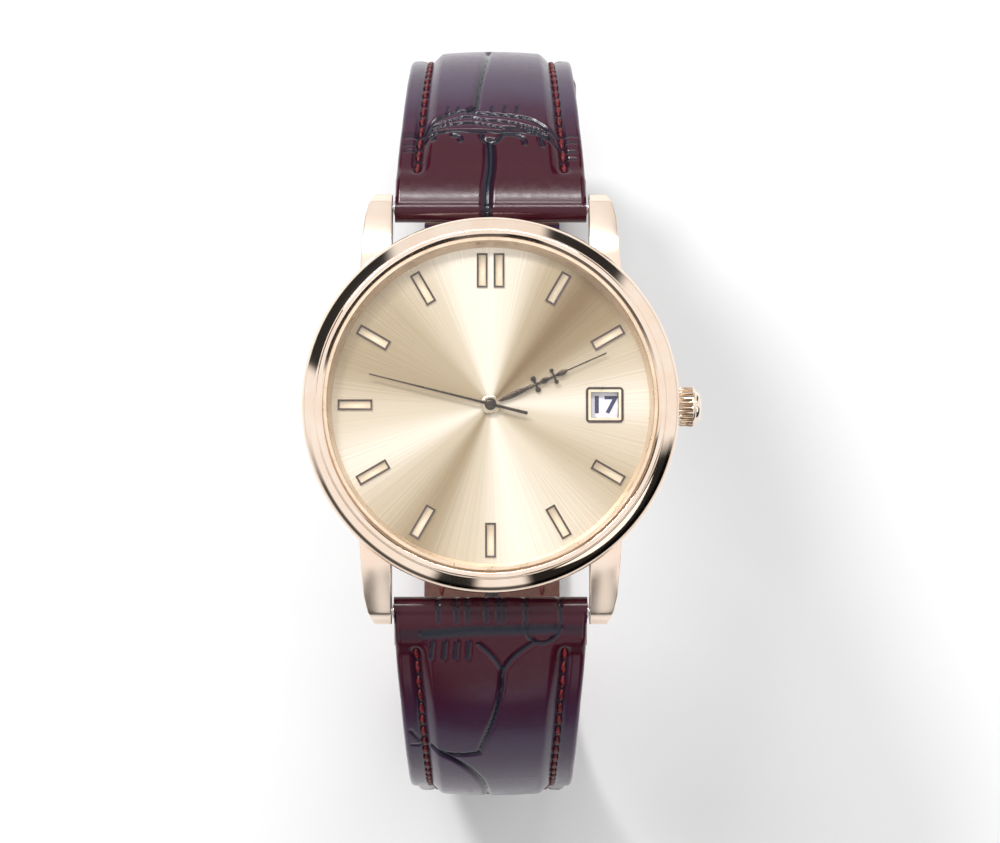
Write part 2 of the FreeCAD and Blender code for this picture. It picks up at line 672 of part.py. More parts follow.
# --- strap -------------------------------------------------------------------------------
def strap_route(widest, length):
    """Stretches of the centre line from the lug bar: (length, turn in degrees, radius).

    Out from the bar, over the shoulder, down the side, round the low bend and flat.
    """
    start_z = CASE_BASE + BAR_Z
    fall = math.radians(FALL)
    out = widest - BAR_Y - FIRST_RUN * math.cos(fall)
    shoulder = out / (1 - math.sin(fall))
    side = start_z - FIRST_RUN * math.sin(fall) - shoulder * math.cos(fall)
    side -= STRAP_THICK / 2 + LOW_BEND_R
    whole = [(FIRST_RUN, 0, 0), (shoulder * math.radians(90 - FALL), 90 - FALL, shoulder),
             (side, 0, 0), (LOW_BEND_R * math.pi / 2, 90, LOW_BEND_R), (length, 0, 0)]
    route = []
    left = length
    for stretch, turn, radius in whole:
        used = min(stretch, left)
        if used > 0:
            route.append((used, turn * used / stretch, radius))
        left -= used
    return route


def walk(route, stop=None):
    """Steps along a route: (place, heading in degrees, stretch taken, turn, radius)."""
    u, v, heading = BAR_Y, CASE_BASE + BAR_Z, -FALL
    steps = []
    gone = 0.0
    for stretch, turn, radius in route:
        if stop is not None and gone + stretch > stop:
            turn = turn * (stop - gone) / stretch
            stretch = stop - gone
        steps.append(((u, v), heading, stretch, turn, radius))
        u, v, heading = advance(u, v, heading, stretch, turn, radius)
        gone += stretch
        if stop is not None and gone >= stop:
            break
    return steps, (u, v), heading


def advance(u, v, heading, stretch, turn, radius):
    nu, nv = normal(heading)
    if turn == 0:
        along = math.radians(heading)
        return u + stretch * math.cos(along), v + stretch * math.sin(along), heading
    mu, mv = normal(heading - turn)
    return u + radius * (mu - nu), v + radius * (mv - nv), heading - turn


def normal(heading):
    """The direction out of the ring, square to a heading."""
    angle = math.radians(heading)
    return -math.sin(angle), math.cos(angle)


def band(route, start, stop, inner, outer, side):
    """The strap between two distances along its route and two offsets from its centre line."""
    steps, _, _ = walk(route, stop)
    kept = []
    gone = 0.0
    for (u, v), heading, stretch, turn, radius in steps:
        if gone + stretch > start:
            skip = max(0.0, start - gone)
            share = turn * skip / stretch
            u, v, heading = advance(u, v, heading, skip, share, radius)
            kept.append(((u, v), heading, stretch - skip, turn - share, radius))
        gone += stretch
    half = LUG_GAP / 2 + 1

    def point(u, v, heading, offset):
        nu, nv = normal(heading)
        return vec(-half, side * (u + nu * offset), v + nv * offset)

    def run(offset):
        edges = []
        for (u, v), heading, stretch, turn, radius in kept:
            first = point(u, v, heading, offset)
            eu, ev, end = advance(u, v, heading, stretch, turn, radius)
            last = point(eu, ev, end, offset)
            if turn == 0:
                edges.append(Part.LineSegment(first, last).toShape())
            else:
                mu, mv, middle = advance(u, v, heading, stretch / 2, turn / 2, radius)
                via = point(mu, mv, middle, offset)
                edges.append(Part.Arc(first, via, last).toShape())
        return edges

    outer_run = run(outer)
    inner_run = run(inner)
    caps = [Part.LineSegment(outer_run[0].Vertexes[0].Point, inner_run[0].Vertexes[0].Point).toShape(),
            Part.LineSegment(outer_run[-1].Vertexes[-1].Point, inner_run[-1].Vertexes[-1].Point).toShape()]
    wire = Part.Wire(Part.__sortEdges__(outer_run + inner_run + caps))
    return Part.Face(wire).extrude(vec(2 * half, 0, 0))


def tapered(shape, inset=0.0):
    """The shape cut to the strap's width, less an inset on each side."""
    right = [(width - inset, height) for height, width in STRAP_HALF_WIDTHS]
    points = right + [(-x, z) for x, z in reversed(right)]
    face = Part.Face(outline(points, lambda x, z: vec(x, -60, z)))
    return shape.common(face.extrude(vec(0, 120, 0)))


def spot(route, distance, side):
    """A point of the centre line, its heading and its normal, in the watch's axes."""
    _, (u, v), heading = walk(route, distance)
    nu, nv = normal(heading)
    angle = math.radians(heading)
    return vec(0, side * u, v), vec(0, side * math.cos(angle), math.sin(angle)), vec(0, side * nu, nv)


def bar_end(shape, at):
    """The shape with a round fold about a bar at a point."""
    fold = Part.makeCylinder(STRAP_THICK / 2, 2 * LUG_GAP, vec(-LUG_GAP, at.y, at.z), vec(1, 0, 0))
    return shape.fuse(tapered(fold)).removeSplitter()


def bar_hole(shape, at, radius):
    return shape.cut(Part.makeCylinder(radius, 2 * LUG_GAP, vec(-LUG_GAP, at.y, at.z), vec(1, 0, 0)))


def strap_layers(route, side, length, padded_to, far_wrap):
    """Outer leather, padding and lining of one half, as three solids."""
    low, high = -STRAP_THICK / 2, STRAP_THICK / 2
    lining_top = low + LINING
    lining_end = length - far_wrap
    lining = tapered(band(route, WRAP, lining_end, low, lining_top, side))
    padding = band(route, WRAP + 1.0, padded_to, lining_top, lining_top + PADDING, side)
    padding = tapered(padding, STITCH_MARGIN)
    leather = tapered(band(route, 0.0, length, lining_top, high, side))
    folds = [tapered(band(route, 0.0, WRAP, low, lining_top, side))]
    if far_wrap:
        folds.append(tapered(band(route, lining_end, length, low, lining_top, side)))
    leather = joined([leather] + folds)
    leather = bar_end(leather, spot(route, 0.0, side)[0]).cut(padding)
    return leather, padding, lining


def drilled(shape, route, side):
    """The shape with the row of tongue holes along the tail."""
    for number in range(HOLES):
        distance = TAIL_HALF_LENGTH - FIRST_HOLE_FROM_TIP - number * HOLE_PITCH
        at, _, out = spot(route, distance, side)
        shape = shape.cut(Part.makeCylinder(HOLE_R, 8, at - out * 4, out))
    return shape


def pointed(shape, tip_y):
    """The shape with its end on the rest plane cut to a rounded point."""
    half, back = 8.2, 11.0
    keep = prism([(-half, tip_y - back), (-5.4, tip_y - 2.6, "via"), (0, tip_y),
                  (5.4, tip_y - 2.6, "via"), (half, tip_y - back)], -1, 5)
    corner = block((-half - 2, half + 2), (tip_y - back, tip_y + 2), (-1, 5))
    return shape.cut(corner.cut(keep))


def buckle_half():
    route = strap_route(WIDEST_12, BUCKLE_HALF_LENGTH)
    leather, padding, lining = strap_layers(route, 1, BUCKLE_HALF_LENGTH, 66.0, WRAP)
    bar = spot(route, BUCKLE_HALF_LENGTH, 1)[0]
    leather = bar_end(leather, bar)
    leather = bar_hole(leather, spot(route, 0.0, 1)[0], STRAP_BORE_R)
    leather = bar_hole(leather, bar, BUCKLE_BORE_R)
    slot = block((-TONGUE_SLOT / 2, TONGUE_SLOT / 2), (bar.y - 3, bar.y + 3.4), (-1, 6))
    return leather.cut(slot), padding, lining, route, bar


def tail_half():
    route = strap_route(WIDEST_6, TAIL_HALF_LENGTH)
    leather, padding, lining = strap_layers(route, -1, TAIL_HALF_LENGTH, 40.0, 0.0)
    leather = bar_hole(leather, spot(route, 0.0, -1)[0], STRAP_BORE_R)
    tip_y = spot(route, TAIL_HALF_LENGTH, -1)[0].y
    leather = pointed(drilled(leather, route, -1), tip_y)
    lining = pointed(drilled(lining, route, -1), tip_y)
    return leather, padding, lining


def keeper(at, heading, out, half_width, room):
    """A leather loop round the strap, square to its heading."""
    inside_low, inside_high = -STRAP_THICK / 2 - room, STRAP_THICK / 2 + room

    def tube(width, low, high, length):
        body = Part.makeBox(2 * width, length, high - low, vec(-width, -length / 2, low))
        placed = FreeCAD.Matrix(1, 0, 0, 0, 0, heading.y, out.y, at.y, 0, heading.z, out.z, at.z)
        body.Placement = FreeCAD.Placement(placed).multiply(body.Placement)
        return body

    outer = tube(half_width + KEEPER_WALL, inside_low - KEEPER_WALL, inside_high + KEEPER_WALL, KEEPER_WIDTH)
    inner = tube(half_width, inside_low, inside_high, KEEPER_WIDTH + 2)
    return outer.cut(inner)


# --- buckle --------------------------------------------------------------------------------
def buckle_frame(bar):
    """Two legs on the bar and a rounded front bar."""
    front = bar.y - BUCKLE_REACH
    middle_z = bar.z + 0.35
    plan = [(-BUCKLE_OUTSIDE, bar.y + 1.3), (-BUCKLE_OUTSIDE, front + 1.4),
            (-BUCKLE_OUTSIDE + 0.5, front + 0.2, "via"), (-BUCKLE_OUTSIDE + 1.7, front - 0.4),
            (0, front - 0.9, "via"), (BUCKLE_OUTSIDE - 1.7, front - 0.4),
            (BUCKLE_OUTSIDE - 0.5, front + 0.2, "via"), (BUCKLE_OUTSIDE, front + 1.4),
            (BUCKLE_OUTSIDE, bar.y + 1.3)]
    body = prism(plan, middle_z - 0.8, middle_z + 0.8)
    window = [(-BUCKLE_INSIDE, bar.y + 2.0), (-BUCKLE_INSIDE, front + 1.6),
              (-BUCKLE_INSIDE + 0.4, front + 1.1, "via"), (-BUCKLE_INSIDE + 1.0, front + 0.9),
              (BUCKLE_INSIDE - 1.0, front + 0.9), (BUCKLE_INSIDE - 0.4, front + 1.1, "via"),
              (BUCKLE_INSIDE, front + 1.6), (BUCKLE_INSIDE, bar.y + 2.0)]
    body = body.cut(prism(window, -2, 6))
    rims = [edge for edge in body.Edges if edge.BoundBox.ZLength < 0.01 and edge.Length > 0.5
            and edge.BoundBox.YMax < bar.y + 1.2]
    body = body.makeFillet(0.3, rims)
    for side in (-1, 1):
        leg = (BUCKLE_INSIDE + BUCKLE_OUTSIDE) / 2
        boss = rod_x(1.2, side * leg - 0.85, side * leg + 0.85, bar.y, bar.z)
        body = body.fuse(boss)
    return body.cut(buckle_bar_tips(bar)).removeSplitter()


def buckle_bar_tips(bar):
    """The thin core of the buckle's spring bar, whose ends sit in the legs."""
    reach = BUCKLE_OUTSIDE - 0.5
    return rod_x(BAR_TIP_R, -reach, reach, bar.y, bar.z)


def buckle_spring_bar(bar):
    body = rod_x(BUCKLE_BAR_R, -BUCKLE_INSIDE + 0.1, BUCKLE_INSIDE - 0.1, bar.y, bar.z)
    return body.fuse(buckle_bar_tips(bar)).removeSplitter()


def buckle_tongue(bar):
    """A flat pin hung on the bar, its tip under the front bar."""
    half = TONGUE_WIDTH / 2
    low = 0.12
    tip = bar.y - BUCKLE_REACH - 0.6
    profile = [(bar.y, bar.z - 1.1), (tip + 0.6, low), (tip, low + 0.3, "via"), (tip + 0.2, low + 0.72),
               (bar.y - 4.0, low + 1.05), (bar.y, bar.z + 1.1)]
    face = Part.Face(outline(profile, lambda y, z: vec(-half, y, z)))
    body = face.extrude(vec(TONGUE_WIDTH, 0, 0))
    plan = prism([(-half, bar.y + 2), (-half, bar.y - 2), (-0.55, tip - 0.1), (0.55, tip - 0.1),
                  (half, bar.y - 2), (half, bar.y + 2)], -1, 5)
    body = body.common(plan).fuse(rod_x(1.1, -half, half, bar.y, bar.z))
    return body.cut(rod_x(BUCKLE_BAR_R + 0.04, -5, 5, bar.y, bar.z)).removeSplitter()


def lug_spring_bars():
    bars = []
    for side in (1, -1):
        body = rod_x(BAR_R, -LUG_GAP / 2 + 0.1, LUG_GAP / 2 - 0.1, side * BAR_Y, BAR_Z)
        tips = rod_x(BAR_TIP_R, -LUG_GAP / 2 - 0.9, LUG_GAP / 2 + 0.9, side * BAR_Y, BAR_Z)
        bars.append(body.fuse(tips).removeSplitter())
    return Part.makeCompound(bars)


# --- writing -------------------------------------------------------------------------------
HEAD = [case_middle, bezel, crystal, crystal_gasket, dial_ring, case_back, case_back_gasket,
        dial, hour_markers, date_frame, hour_hand, minute_hand, seconds_hand, movement_holder,
        main_plate, train_bridge, movement_screws, battery, battery_clamp, circuit_board,
        quartz_oscillator, control_chip, coil_core, coil_winding, stator, rotor, fifth_wheel,
        seconds_wheel, third_wheel, centre_wheel, cannon_pinion, minute_wheel, hour_wheel,
        setting_wheel, date_ring, date_drive_wheel, calendar_cover, winding_stem, sliding_pinion,
        setting_lever, yoke, crown_tube, crown_seal, crown, lug_spring_bars]


def head_nodes():
    nodes = {}
    for make in HEAD:
        shape = make()
        shape.translate(vec(0, 0, CASE_BASE))
        nodes[make.__name__] = shape
    return nodes


def strap_nodes():
    leather, padding, lining, route, bar = buckle_half()
    nodes = {"buckle_strap_leather": leather, "buckle_strap_padding": padding,
             "buckle_strap_lining": lining}
    nodes["tail_strap_leather"], nodes["tail_strap_padding"], nodes["tail_strap_lining"] = tail_half()
    at, heading, out = spot(route, FIXED_KEEPER_AT, 1)
    nodes["fixed_keeper"] = keeper(at, heading, out, FIXED_KEEPER_HALF, 0.25)
    down, side_out = vec(0, 0, -1), vec(0, 1, 0)
    nodes["free_keeper"] = keeper(vec(0, WIDEST_12, FREE_KEEPER_Z), down, side_out, FREE_KEEPER_HALF, 0.3)
    nodes["buckle_frame"] = buckle_frame(bar)
    nodes["buckle_spring_bar"] = buckle_spring_bar(bar)
    nodes["buckle_tongue"] = buckle_tongue(bar)
    return nodes


os.makedirs("parts", exist_ok=True)
NODES = {**head_nodes(), **strap_nodes()}
for name, shape in NODES.items():
    shape.exportStep(os.path.join("parts", name + ".step"))
    solids = len(shape.Solids)
    print(name, "solids", solids, "valid", shape.isValid(), "mm3", round(shape.Volume, 3))
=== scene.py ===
# %% [markdown]
# # A wristwatch on a padded leather strap
# The design comes packed from CAD as a fixed frame of named nodes and bodies, in metres.
# Everything here is fitted round that frame: positions come from the nodes' boxes, and
# every new piece rides on the body whose motion it shares.

# %% Loading the frame
import json
import math

import bpy
import numpy as np
from mathutils import Matrix, Vector

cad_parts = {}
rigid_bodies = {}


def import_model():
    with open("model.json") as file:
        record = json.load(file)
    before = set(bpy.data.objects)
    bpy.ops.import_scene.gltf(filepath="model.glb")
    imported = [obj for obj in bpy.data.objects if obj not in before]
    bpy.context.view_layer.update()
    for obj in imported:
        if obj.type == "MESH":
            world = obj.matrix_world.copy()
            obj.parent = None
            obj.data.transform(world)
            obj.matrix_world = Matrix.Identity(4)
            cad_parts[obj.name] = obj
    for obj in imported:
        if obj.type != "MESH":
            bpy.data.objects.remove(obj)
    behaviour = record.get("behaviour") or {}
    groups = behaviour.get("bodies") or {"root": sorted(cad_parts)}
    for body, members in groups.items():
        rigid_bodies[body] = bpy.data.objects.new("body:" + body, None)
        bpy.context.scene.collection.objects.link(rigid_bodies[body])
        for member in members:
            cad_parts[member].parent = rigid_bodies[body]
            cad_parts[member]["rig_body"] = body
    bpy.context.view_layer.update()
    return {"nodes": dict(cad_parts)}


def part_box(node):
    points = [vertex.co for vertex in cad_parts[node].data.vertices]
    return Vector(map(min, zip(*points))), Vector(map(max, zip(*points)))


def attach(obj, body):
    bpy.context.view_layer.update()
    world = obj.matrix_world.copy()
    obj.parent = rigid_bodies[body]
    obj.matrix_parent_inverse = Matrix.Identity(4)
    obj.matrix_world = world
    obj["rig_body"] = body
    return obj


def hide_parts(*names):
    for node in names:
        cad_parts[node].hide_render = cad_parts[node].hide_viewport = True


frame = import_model()
NODES = frame["nodes"]
MM = 0.001
BACK_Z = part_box("case_back")[0].z
DIAL_TOP = BACK_Z + 5.4 * MM
print("case back", round(BACK_Z, 4), "dial top", round(DIAL_TOP, 4))


# %% [markdown]
# ## Small helpers
# An operator acts on everything that is selected, and loading leaves the CAD nodes
# selected. So each operation starts by clearing the selection and naming its one object.

# %% Selection and finishing helpers
def only(obj):
    bpy.ops.object.select_all(action="DESELECT")
    obj.select_set(True)
    bpy.context.view_layer.objects.active = obj


def joined(first, others):
    """Joins the other objects into the first one."""
    only(first)
    for other in others:
        other.select_set(True)
    bpy.ops.object.join()
    return first


def edit_all(obj):
    only(obj)
    bpy.ops.object.mode_set(mode="EDIT")
    bpy.ops.mesh.select_all(action="SELECT")


def leave_edit():
    bpy.ops.object.mode_set(mode="OBJECT")


def apply_modifier(obj, kind, **settings):
    only(obj)
    step = obj.modifiers.new(kind.title(), kind)
    for key, value in settings.items():
        setattr(step, key, value)
    bpy.ops.object.modifier_apply(modifier=step.name)


def smooth(obj, degrees=35):
    only(obj)
    bpy.ops.object.shade_smooth_by_angle(angle=math.radians(degrees))


def settle(obj, name, body, material, stands_for=()):
    """Names a finished piece, gives it its finish and seats it on its body."""
    only(obj)
    bpy.ops.object.transform_apply(location=True, rotation=True, scale=True)
    obj.name = name
    obj.data.name = name
    if material is not None:
        obj.data.materials.clear()
        obj.data.materials.append(material)
    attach(obj, body)
    if stands_for:
        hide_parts(*stands_for)
    print(name, "faces", len(obj.data.polygons))
    return obj


def set_points(mesh, points):
    mesh.vertices.foreach_set("co", np.asarray(points, np.float32).ravel())
    mesh.update()


def clean(obj, distance):
    edit_all(obj)
    bpy.ops.mesh.remove_doubles(threshold=distance)
    bpy.ops.mesh.normals_make_consistent(inside=False)
    leave_edit()


# %% [markdown]
# ## Finishes
# Each finish is a small node tree on the Principled shader. Patterns are driven by Object
# coordinates, which are metres here, so a noise scale of 1000 has features near 1 mm.

# %% Material building blocks
def finish(name, colour, metallic=0.0, roughness=0.4, **sockets):
    made = bpy.data.materials.new(name)
    made.use_nodes = True
    shader = made.node_tree.nodes["Principled BSDF"]
    shader.inputs["Base Color"].default_value = (*colour, 1.0)
    shader.inputs["Metallic"].default_value = metallic
    shader.inputs["Roughness"].default_value = roughness
    for key, value in sockets.items():
        shader.inputs[key.replace("_", " ")].default_value = value
    return made, made.node_tree.nodes, made.node_tree.links, shader


def object_space(nodes):
    return nodes.new("ShaderNodeTexCoord").outputs["Object"]


def noise(nodes, links, space, scale, detail=4.0, stretch=None):
    texture = nodes.new("ShaderNodeTexNoise")
    texture.inputs["Scale"].default_value = scale
    texture.inputs["Detail"].default_value = detail
    if stretch:
        mapping = nodes.new("ShaderNodeMapping")
        mapping.inputs["Scale"].default_value = stretch
        links.new(space, mapping.inputs["Vector"])
        space = mapping.outputs["Vector"]
    links.new(space, texture.inputs["Vector"])
    return texture.outputs["Fac"]


def ramp(nodes, links, value, stops, smooth_steps=False):
    made = nodes.new("ShaderNodeValToRGB")
    band = made.color_ramp
    band.interpolation = "EASE" if smooth_steps else "LINEAR"
    while len(band.elements) < len(stops):
        band.elements.new(0.5)
    for element, (place, colour) in zip(band.elements, stops):
        element.position = place
        element.color = (*colour, 1.0)
    links.new(value, made.inputs["Fac"])
    return made.outputs["Color"]


def grey(value):
    return (value, value, value)


def parts_of(nodes, links, vector):
    """The X, Y and Z sockets of a vector."""
    split = nodes.new("ShaderNodeSeparateXYZ")
    links.new(vector, split.inputs[0])
    return split.outputs


def feed(links, socket, value):
    """Gives a socket a number or colour, or links another socket to it."""
    if isinstance(value, (int, float, tuple)):
        socket.default_value = value
    else:
        links.new(value, socket)


def calc(nodes, links, operation, *values):
    made = nodes.new("ShaderNodeMath")
    made.operation = operation
    for socket, value in zip(made.inputs, values):
        feed(links, socket, value)
    return made.outputs[0]


def blended(nodes, links, factor, a, b, way="MIX"):
    made = nodes.new("ShaderNodeMix")
    made.data_type = "RGBA"
    made.blend_type = way
    for socket, value in (("Factor", factor), ("A", a), ("B", b)):
        feed(links, made.inputs[socket], value)
    return made.outputs["Result"]


def bump(nodes, links, shader, height, strength, depth):
    made = nodes.new("ShaderNodeBump")
    made.inputs["Strength"].default_value = strength
    made.inputs["Distance"].default_value = depth
    links.new(height, made.inputs["Height"])
    links.new(made.outputs["Normal"], shader.inputs["Normal"])


def speckled(name, dark, light, scale, metallic=0.0, roughness=(0.3, 0.45), depth=2e-6,
             stretch=None, **sockets):
    """A finish whose colour and gloss wander a little, over fine relief."""
    made, nodes, links, shader = finish(name, light, metallic, roughness[0], **sockets)
    grain = noise(nodes, links, object_space(nodes), scale, 4.0, stretch)
    links.new(ramp(nodes, links, grain, [(0.3, dark), (0.7, light)]), shader.inputs["Base Color"])
    gloss = ramp(nodes, links, grain, [(0.3, grey(roughness[0])), (0.7, grey(roughness[1]))])
    links.new(gloss, shader.inputs["Roughness"])
    bump(nodes, links, shader, grain, 0.4, depth)
    return made


# %% [markdown]
# ### Polished gold plate
# Rose-yellow gold is a mirror: most of its look is what it reflects. Only a faint haze and
# very shallow polishing waves are added, so highlights are crisp but not computer-perfect.
# The case and lugs have a softer polish than the bezel, so lamps don't draw lines on them.

# %% Metal finishes
GOLD = speckled("polished rose gold", (0.94, 0.74, 0.59), (0.98, 0.83, 0.70), 300.0, 1.0,
                (0.05, 0.09), 3e-7)
CASE_GOLD = speckled("soft rose gold", (0.95, 0.75, 0.61), (0.99, 0.84, 0.71), 300.0, 1.0,
                     (0.20, 0.26), 3e-7)
CROWN_GOLD = speckled("crown gold", (0.93, 0.80, 0.66), (0.98, 0.87, 0.74), 300.0, 1.0, (0.08, 0.14),
                      3e-7)
BRONZE = speckled("bronze hands", (0.022, 0.013, 0.008), (0.075, 0.048, 0.030), 900.0, 0.8,
                  (0.22, 0.34), 5e-7)
HUB_GOLD = speckled("gilt hub", (0.50, 0.40, 0.27), (0.68, 0.57, 0.42), 900.0, 1.0, (0.12, 0.22), 5e-7)
STEEL = speckled("satin steel", (0.46, 0.46, 0.47), (0.62, 0.62, 0.62), 400.0, 1.0, (0.25, 0.38),
                 1e-6, (1.0, 1.0, 12.0))
TURNED_STEEL = speckled("turned steel", (0.5, 0.5, 0.51), (0.68, 0.68, 0.69), 900.0, 1.0,
                        (0.18, 0.3), 1e-6, (12.0, 1.0, 1.0))
CELL = speckled("cell can", (0.58, 0.58, 0.60), (0.72, 0.72, 0.73), 250.0, 1.0, (0.12, 0.25), 8e-7)
BRASS = speckled("machined brass", (0.62, 0.46, 0.20), (0.80, 0.63, 0.32), 700.0, 1.0, (0.2, 0.35))
IRON = speckled("soft iron", (0.25, 0.25, 0.26), (0.38, 0.38, 0.39), 500.0, 1.0, (0.35, 0.5))
COPPER = speckled("enamelled copper", (0.52, 0.20, 0.08), (0.75, 0.33, 0.15), 2500.0, 0.9,
                  (0.2, 0.35), 8e-6, (8.0, 0.2, 0.2))
NYLON = speckled("nylon", (0.78, 0.78, 0.75), (0.88, 0.88, 0.85), 500.0, 0.0, (0.45, 0.6))
PLASTIC = speckled("moulded plate", (0.52, 0.52, 0.50), (0.66, 0.65, 0.62), 600.0, 0.0, (0.4, 0.55))
RUBBER = speckled("seal rubber", (0.015, 0.015, 0.015), (0.04, 0.04, 0.04), 900.0, 0.0, (0.5, 0.7))
BOARD = speckled("solder mask", (0.01, 0.10, 0.045), (0.03, 0.20, 0.09), 1200.0, 0.0, (0.2, 0.35))
CHIP = speckled("epoxy", (0.01, 0.01, 0.012), (0.03, 0.03, 0.035), 2500.0, 0.0, (0.35, 0.5))
FELT = speckled("felt filler", (0.30, 0.28, 0.25), (0.50, 0.47, 0.43), 2500.0, 0.0, (0.8, 0.95), 3e-5)
FLANGE = speckled("satin flange", (0.74, 0.56, 0.40), (0.84, 0.68, 0.52), 500.0, 0.55, (0.25, 0.35), 4e-7)
NAVY = speckled("date ink", (0.008, 0.012, 0.06), (0.02, 0.03, 0.11), 3000.0, 0.0, (0.4, 0.5), 1e-6)
print("finishes so far", len(bpy.data.materials))


# %% Glass
def glass_finish():
    made, nodes, links, shader = finish("clear glass", (0.97, 0.98, 1.0), 0.0, 0.02, Alpha=0.025)
    haze = noise(nodes, links, object_space(nodes), 60.0)
    film = ramp(nodes, links, haze, [(0.3, grey(0.015)), (0.7, grey(0.03))])
    links.new(film, shader.inputs["Roughness"])
    return made


GLASS = glass_finish()

# %% [markdown]
# ### The sunburst dial
# A sunburst is brushed outwards from the centre, so each direction throws its light another way
# and the dial shows a fan of bright and dark sectors. Here the fan is painted reflection: a ramp
# on the angle about the dial's axis sets the base colour, so the sectors stay put whatever the
# lamps or the view. Fine spokes of noise on the same angle give the brushing.

# %% Dial finish
# Painted reflection: the lightness of each sector, by share of a turn clockwise from 12.
SUNBURST_PAINTED_SHEEN = [(0.00, 0.98), (0.025, 0.88), (0.07, 0.36), (0.11, 0.08), (0.145, 0.20), (0.19, 0.56),
            (0.245, 0.94), (0.29, 0.66), (0.335, 0.46), (0.40, 0.76), (0.47, 1.00), (0.53, 0.62),
            (0.58, 0.24), (0.63, 0.55), (0.685, 0.95), (0.74, 0.66), (0.80, 0.32), (0.87, 0.38),
            (0.92, 0.62), (0.965, 0.96), (1.00, 0.98)]
# The darkest and brightest painted sector colours of the sunburst.
DIAL_PAINTED_DARK_SECTOR = (0.160, 0.085, 0.034)
DIAL_PAINTED_BRIGHT_SECTOR = (1.00, 0.90, 0.76)
RICHNESS = (0.92, 1.0, 1.25)
BRUSHING = 0.22


def clock_angle(nodes, links, split):
    """The share of a turn clockwise from 12, as a socket."""
    angle = calc(nodes, links, "ARCTAN2", split["X"], split["Y"])
    turn = calc(nodes, links, "DIVIDE", angle, 2 * math.pi)
    return calc(nodes, links, "WRAP", turn, 1.0, 0.0)


def mixed(dark, light, share):
    """Between dark and light, with the blue held back so that the middle stays golden."""
    return tuple(a + (b - a) * share ** p for a, b, p in zip(dark, light, RICHNESS))


def dial_finish():
    made, nodes, links, shader = finish("sunburst champagne", DIAL_PAINTED_BRIGHT_SECTOR, 0.45, 0.30)
    turn = clock_angle(nodes, links, parts_of(nodes, links, object_space(nodes)))
    stops = [(place, mixed(DIAL_PAINTED_DARK_SECTOR, DIAL_PAINTED_BRIGHT_SECTOR, share)) for place, share in SUNBURST_PAINTED_SHEEN]
    # The sectors are painted reflection in the base colour, not lit by the lamps.
    painted_sheen_fan = ramp(nodes, links, turn, stops, smooth_steps=True)
    spokes = nodes.new("ShaderNodeTexNoise")
    spokes.noise_dimensions = "1D"
    spokes.inputs["Scale"].default_value = 420.0
    spokes.inputs["Detail"].default_value = 3.0
    links.new(turn, spokes.inputs["W"])
    brushing = ramp(nodes, links, spokes.outputs["Fac"], [(0.3, grey(0.4)), (0.7, grey(1.0))])
    links.new(blended(nodes, links, BRUSHING, painted_sheen_fan, brushing, "MULTIPLY"), shader.inputs["Base Color"])
    bump(nodes, links, shader, spokes.outputs["Fac"], 0.25, 2e-6)
    return made


DIAL = dial_finish()
print("sunburst sectors", len(SUNBURST_PAINTED_SHEEN))


# %% [markdown]
# ### Gloss crocodile-embossed leather
# The hide is burgundy and polished, and its colour carries painted light. Lower down, where the
# strap falls away from the case, it is purple-grey: a painted sheen for the gloss catching the
# pale surround. Near the case, higher up, it keeps its warm burgundy. In a crease or in the
# stitch channel it is cold and near black: painted shade. Each strap mesh carries an attribute
# of how deep in a groove a point is, so the painted shade follows the shape exactly.

# %% Leather finishes
# Painted sheen: below this height band the hide turns purple-grey, above it stays warm burgundy.
PAINTED_SHEEN_FADE_FROM = BACK_Z - 5 * MM
PAINTED_SHEEN_FADE_TO = BACK_Z + 2.5 * MM


def leather_finish(name, body, warm, crease_shade, roughness):
    made, nodes, links, shader = finish(name, body, 0.0, roughness, Coat_Weight=0.09,
                                        Coat_Roughness=0.08, Specular_IOR_Level=0.31)
    space = object_space(nodes)
    cloud = noise(nodes, links, space, 180.0, 3.0)
    pores = noise(nodes, links, space, 1600.0, 3.0)
    rise = nodes.new("ShaderNodeMapRange")
    rise.inputs["From Min"].default_value = PAINTED_SHEEN_FADE_FROM
    rise.inputs["From Max"].default_value = PAINTED_SHEEN_FADE_TO
    links.new(parts_of(nodes, links, space)["Z"], rise.inputs["Value"])
    mottle_and_painted_sheen = calc(nodes, links, "MULTIPLY_ADD", cloud, 0.5, rise.outputs["Result"])
    hide_and_painted_sheen = ramp(nodes, links, mottle_and_painted_sheen, [(0.15, body), (1.0, warm)])
    # Painted shade: creases and the stitch channel are darkened towards the near-black crease colour.
    depth = nodes.new("ShaderNodeAttribute")
    depth.attribute_name = "crease_shade"
    dyed = blended(nodes, links, depth.outputs["Fac"], hide_and_painted_sheen, (*crease_shade, 1.0))
    links.new(dyed, shader.inputs["Base Color"])
    gloss = ramp(nodes, links, pores, [(0.3, grey(roughness * 0.8)), (0.7, grey(roughness * 1.35))])
    links.new(gloss, shader.inputs["Roughness"])
    bump(nodes, links, shader, pores, 0.25, 6e-6)
    return made


# Colours: painted sheen purple-grey for lower parts, the hide's own warm burgundy, painted crease shade.
LEATHER = leather_finish("embossed leather", (0.052, 0.029, 0.070), (0.046, 0.0034, 0.012),
                         (0.009, 0.010, 0.020), 0.20)
EDGE_PAINT = speckled("edge paint", (0.24, 0.085, 0.11), (0.40, 0.17, 0.20), 900.0, 0.0, (0.35, 0.5),
                      1.5e-5)
LINING = speckled("lining leather", (0.085, 0.030, 0.020), (0.15, 0.060, 0.040), 1400.0, 0.0,
                  (0.5, 0.7), 3e-5)
THREAD = speckled("waxed thread", (0.012, 0.001, 0.002), (0.24, 0.012, 0.018), 2600.0, 0.0,
                  (0.35, 0.55), 2e-5)


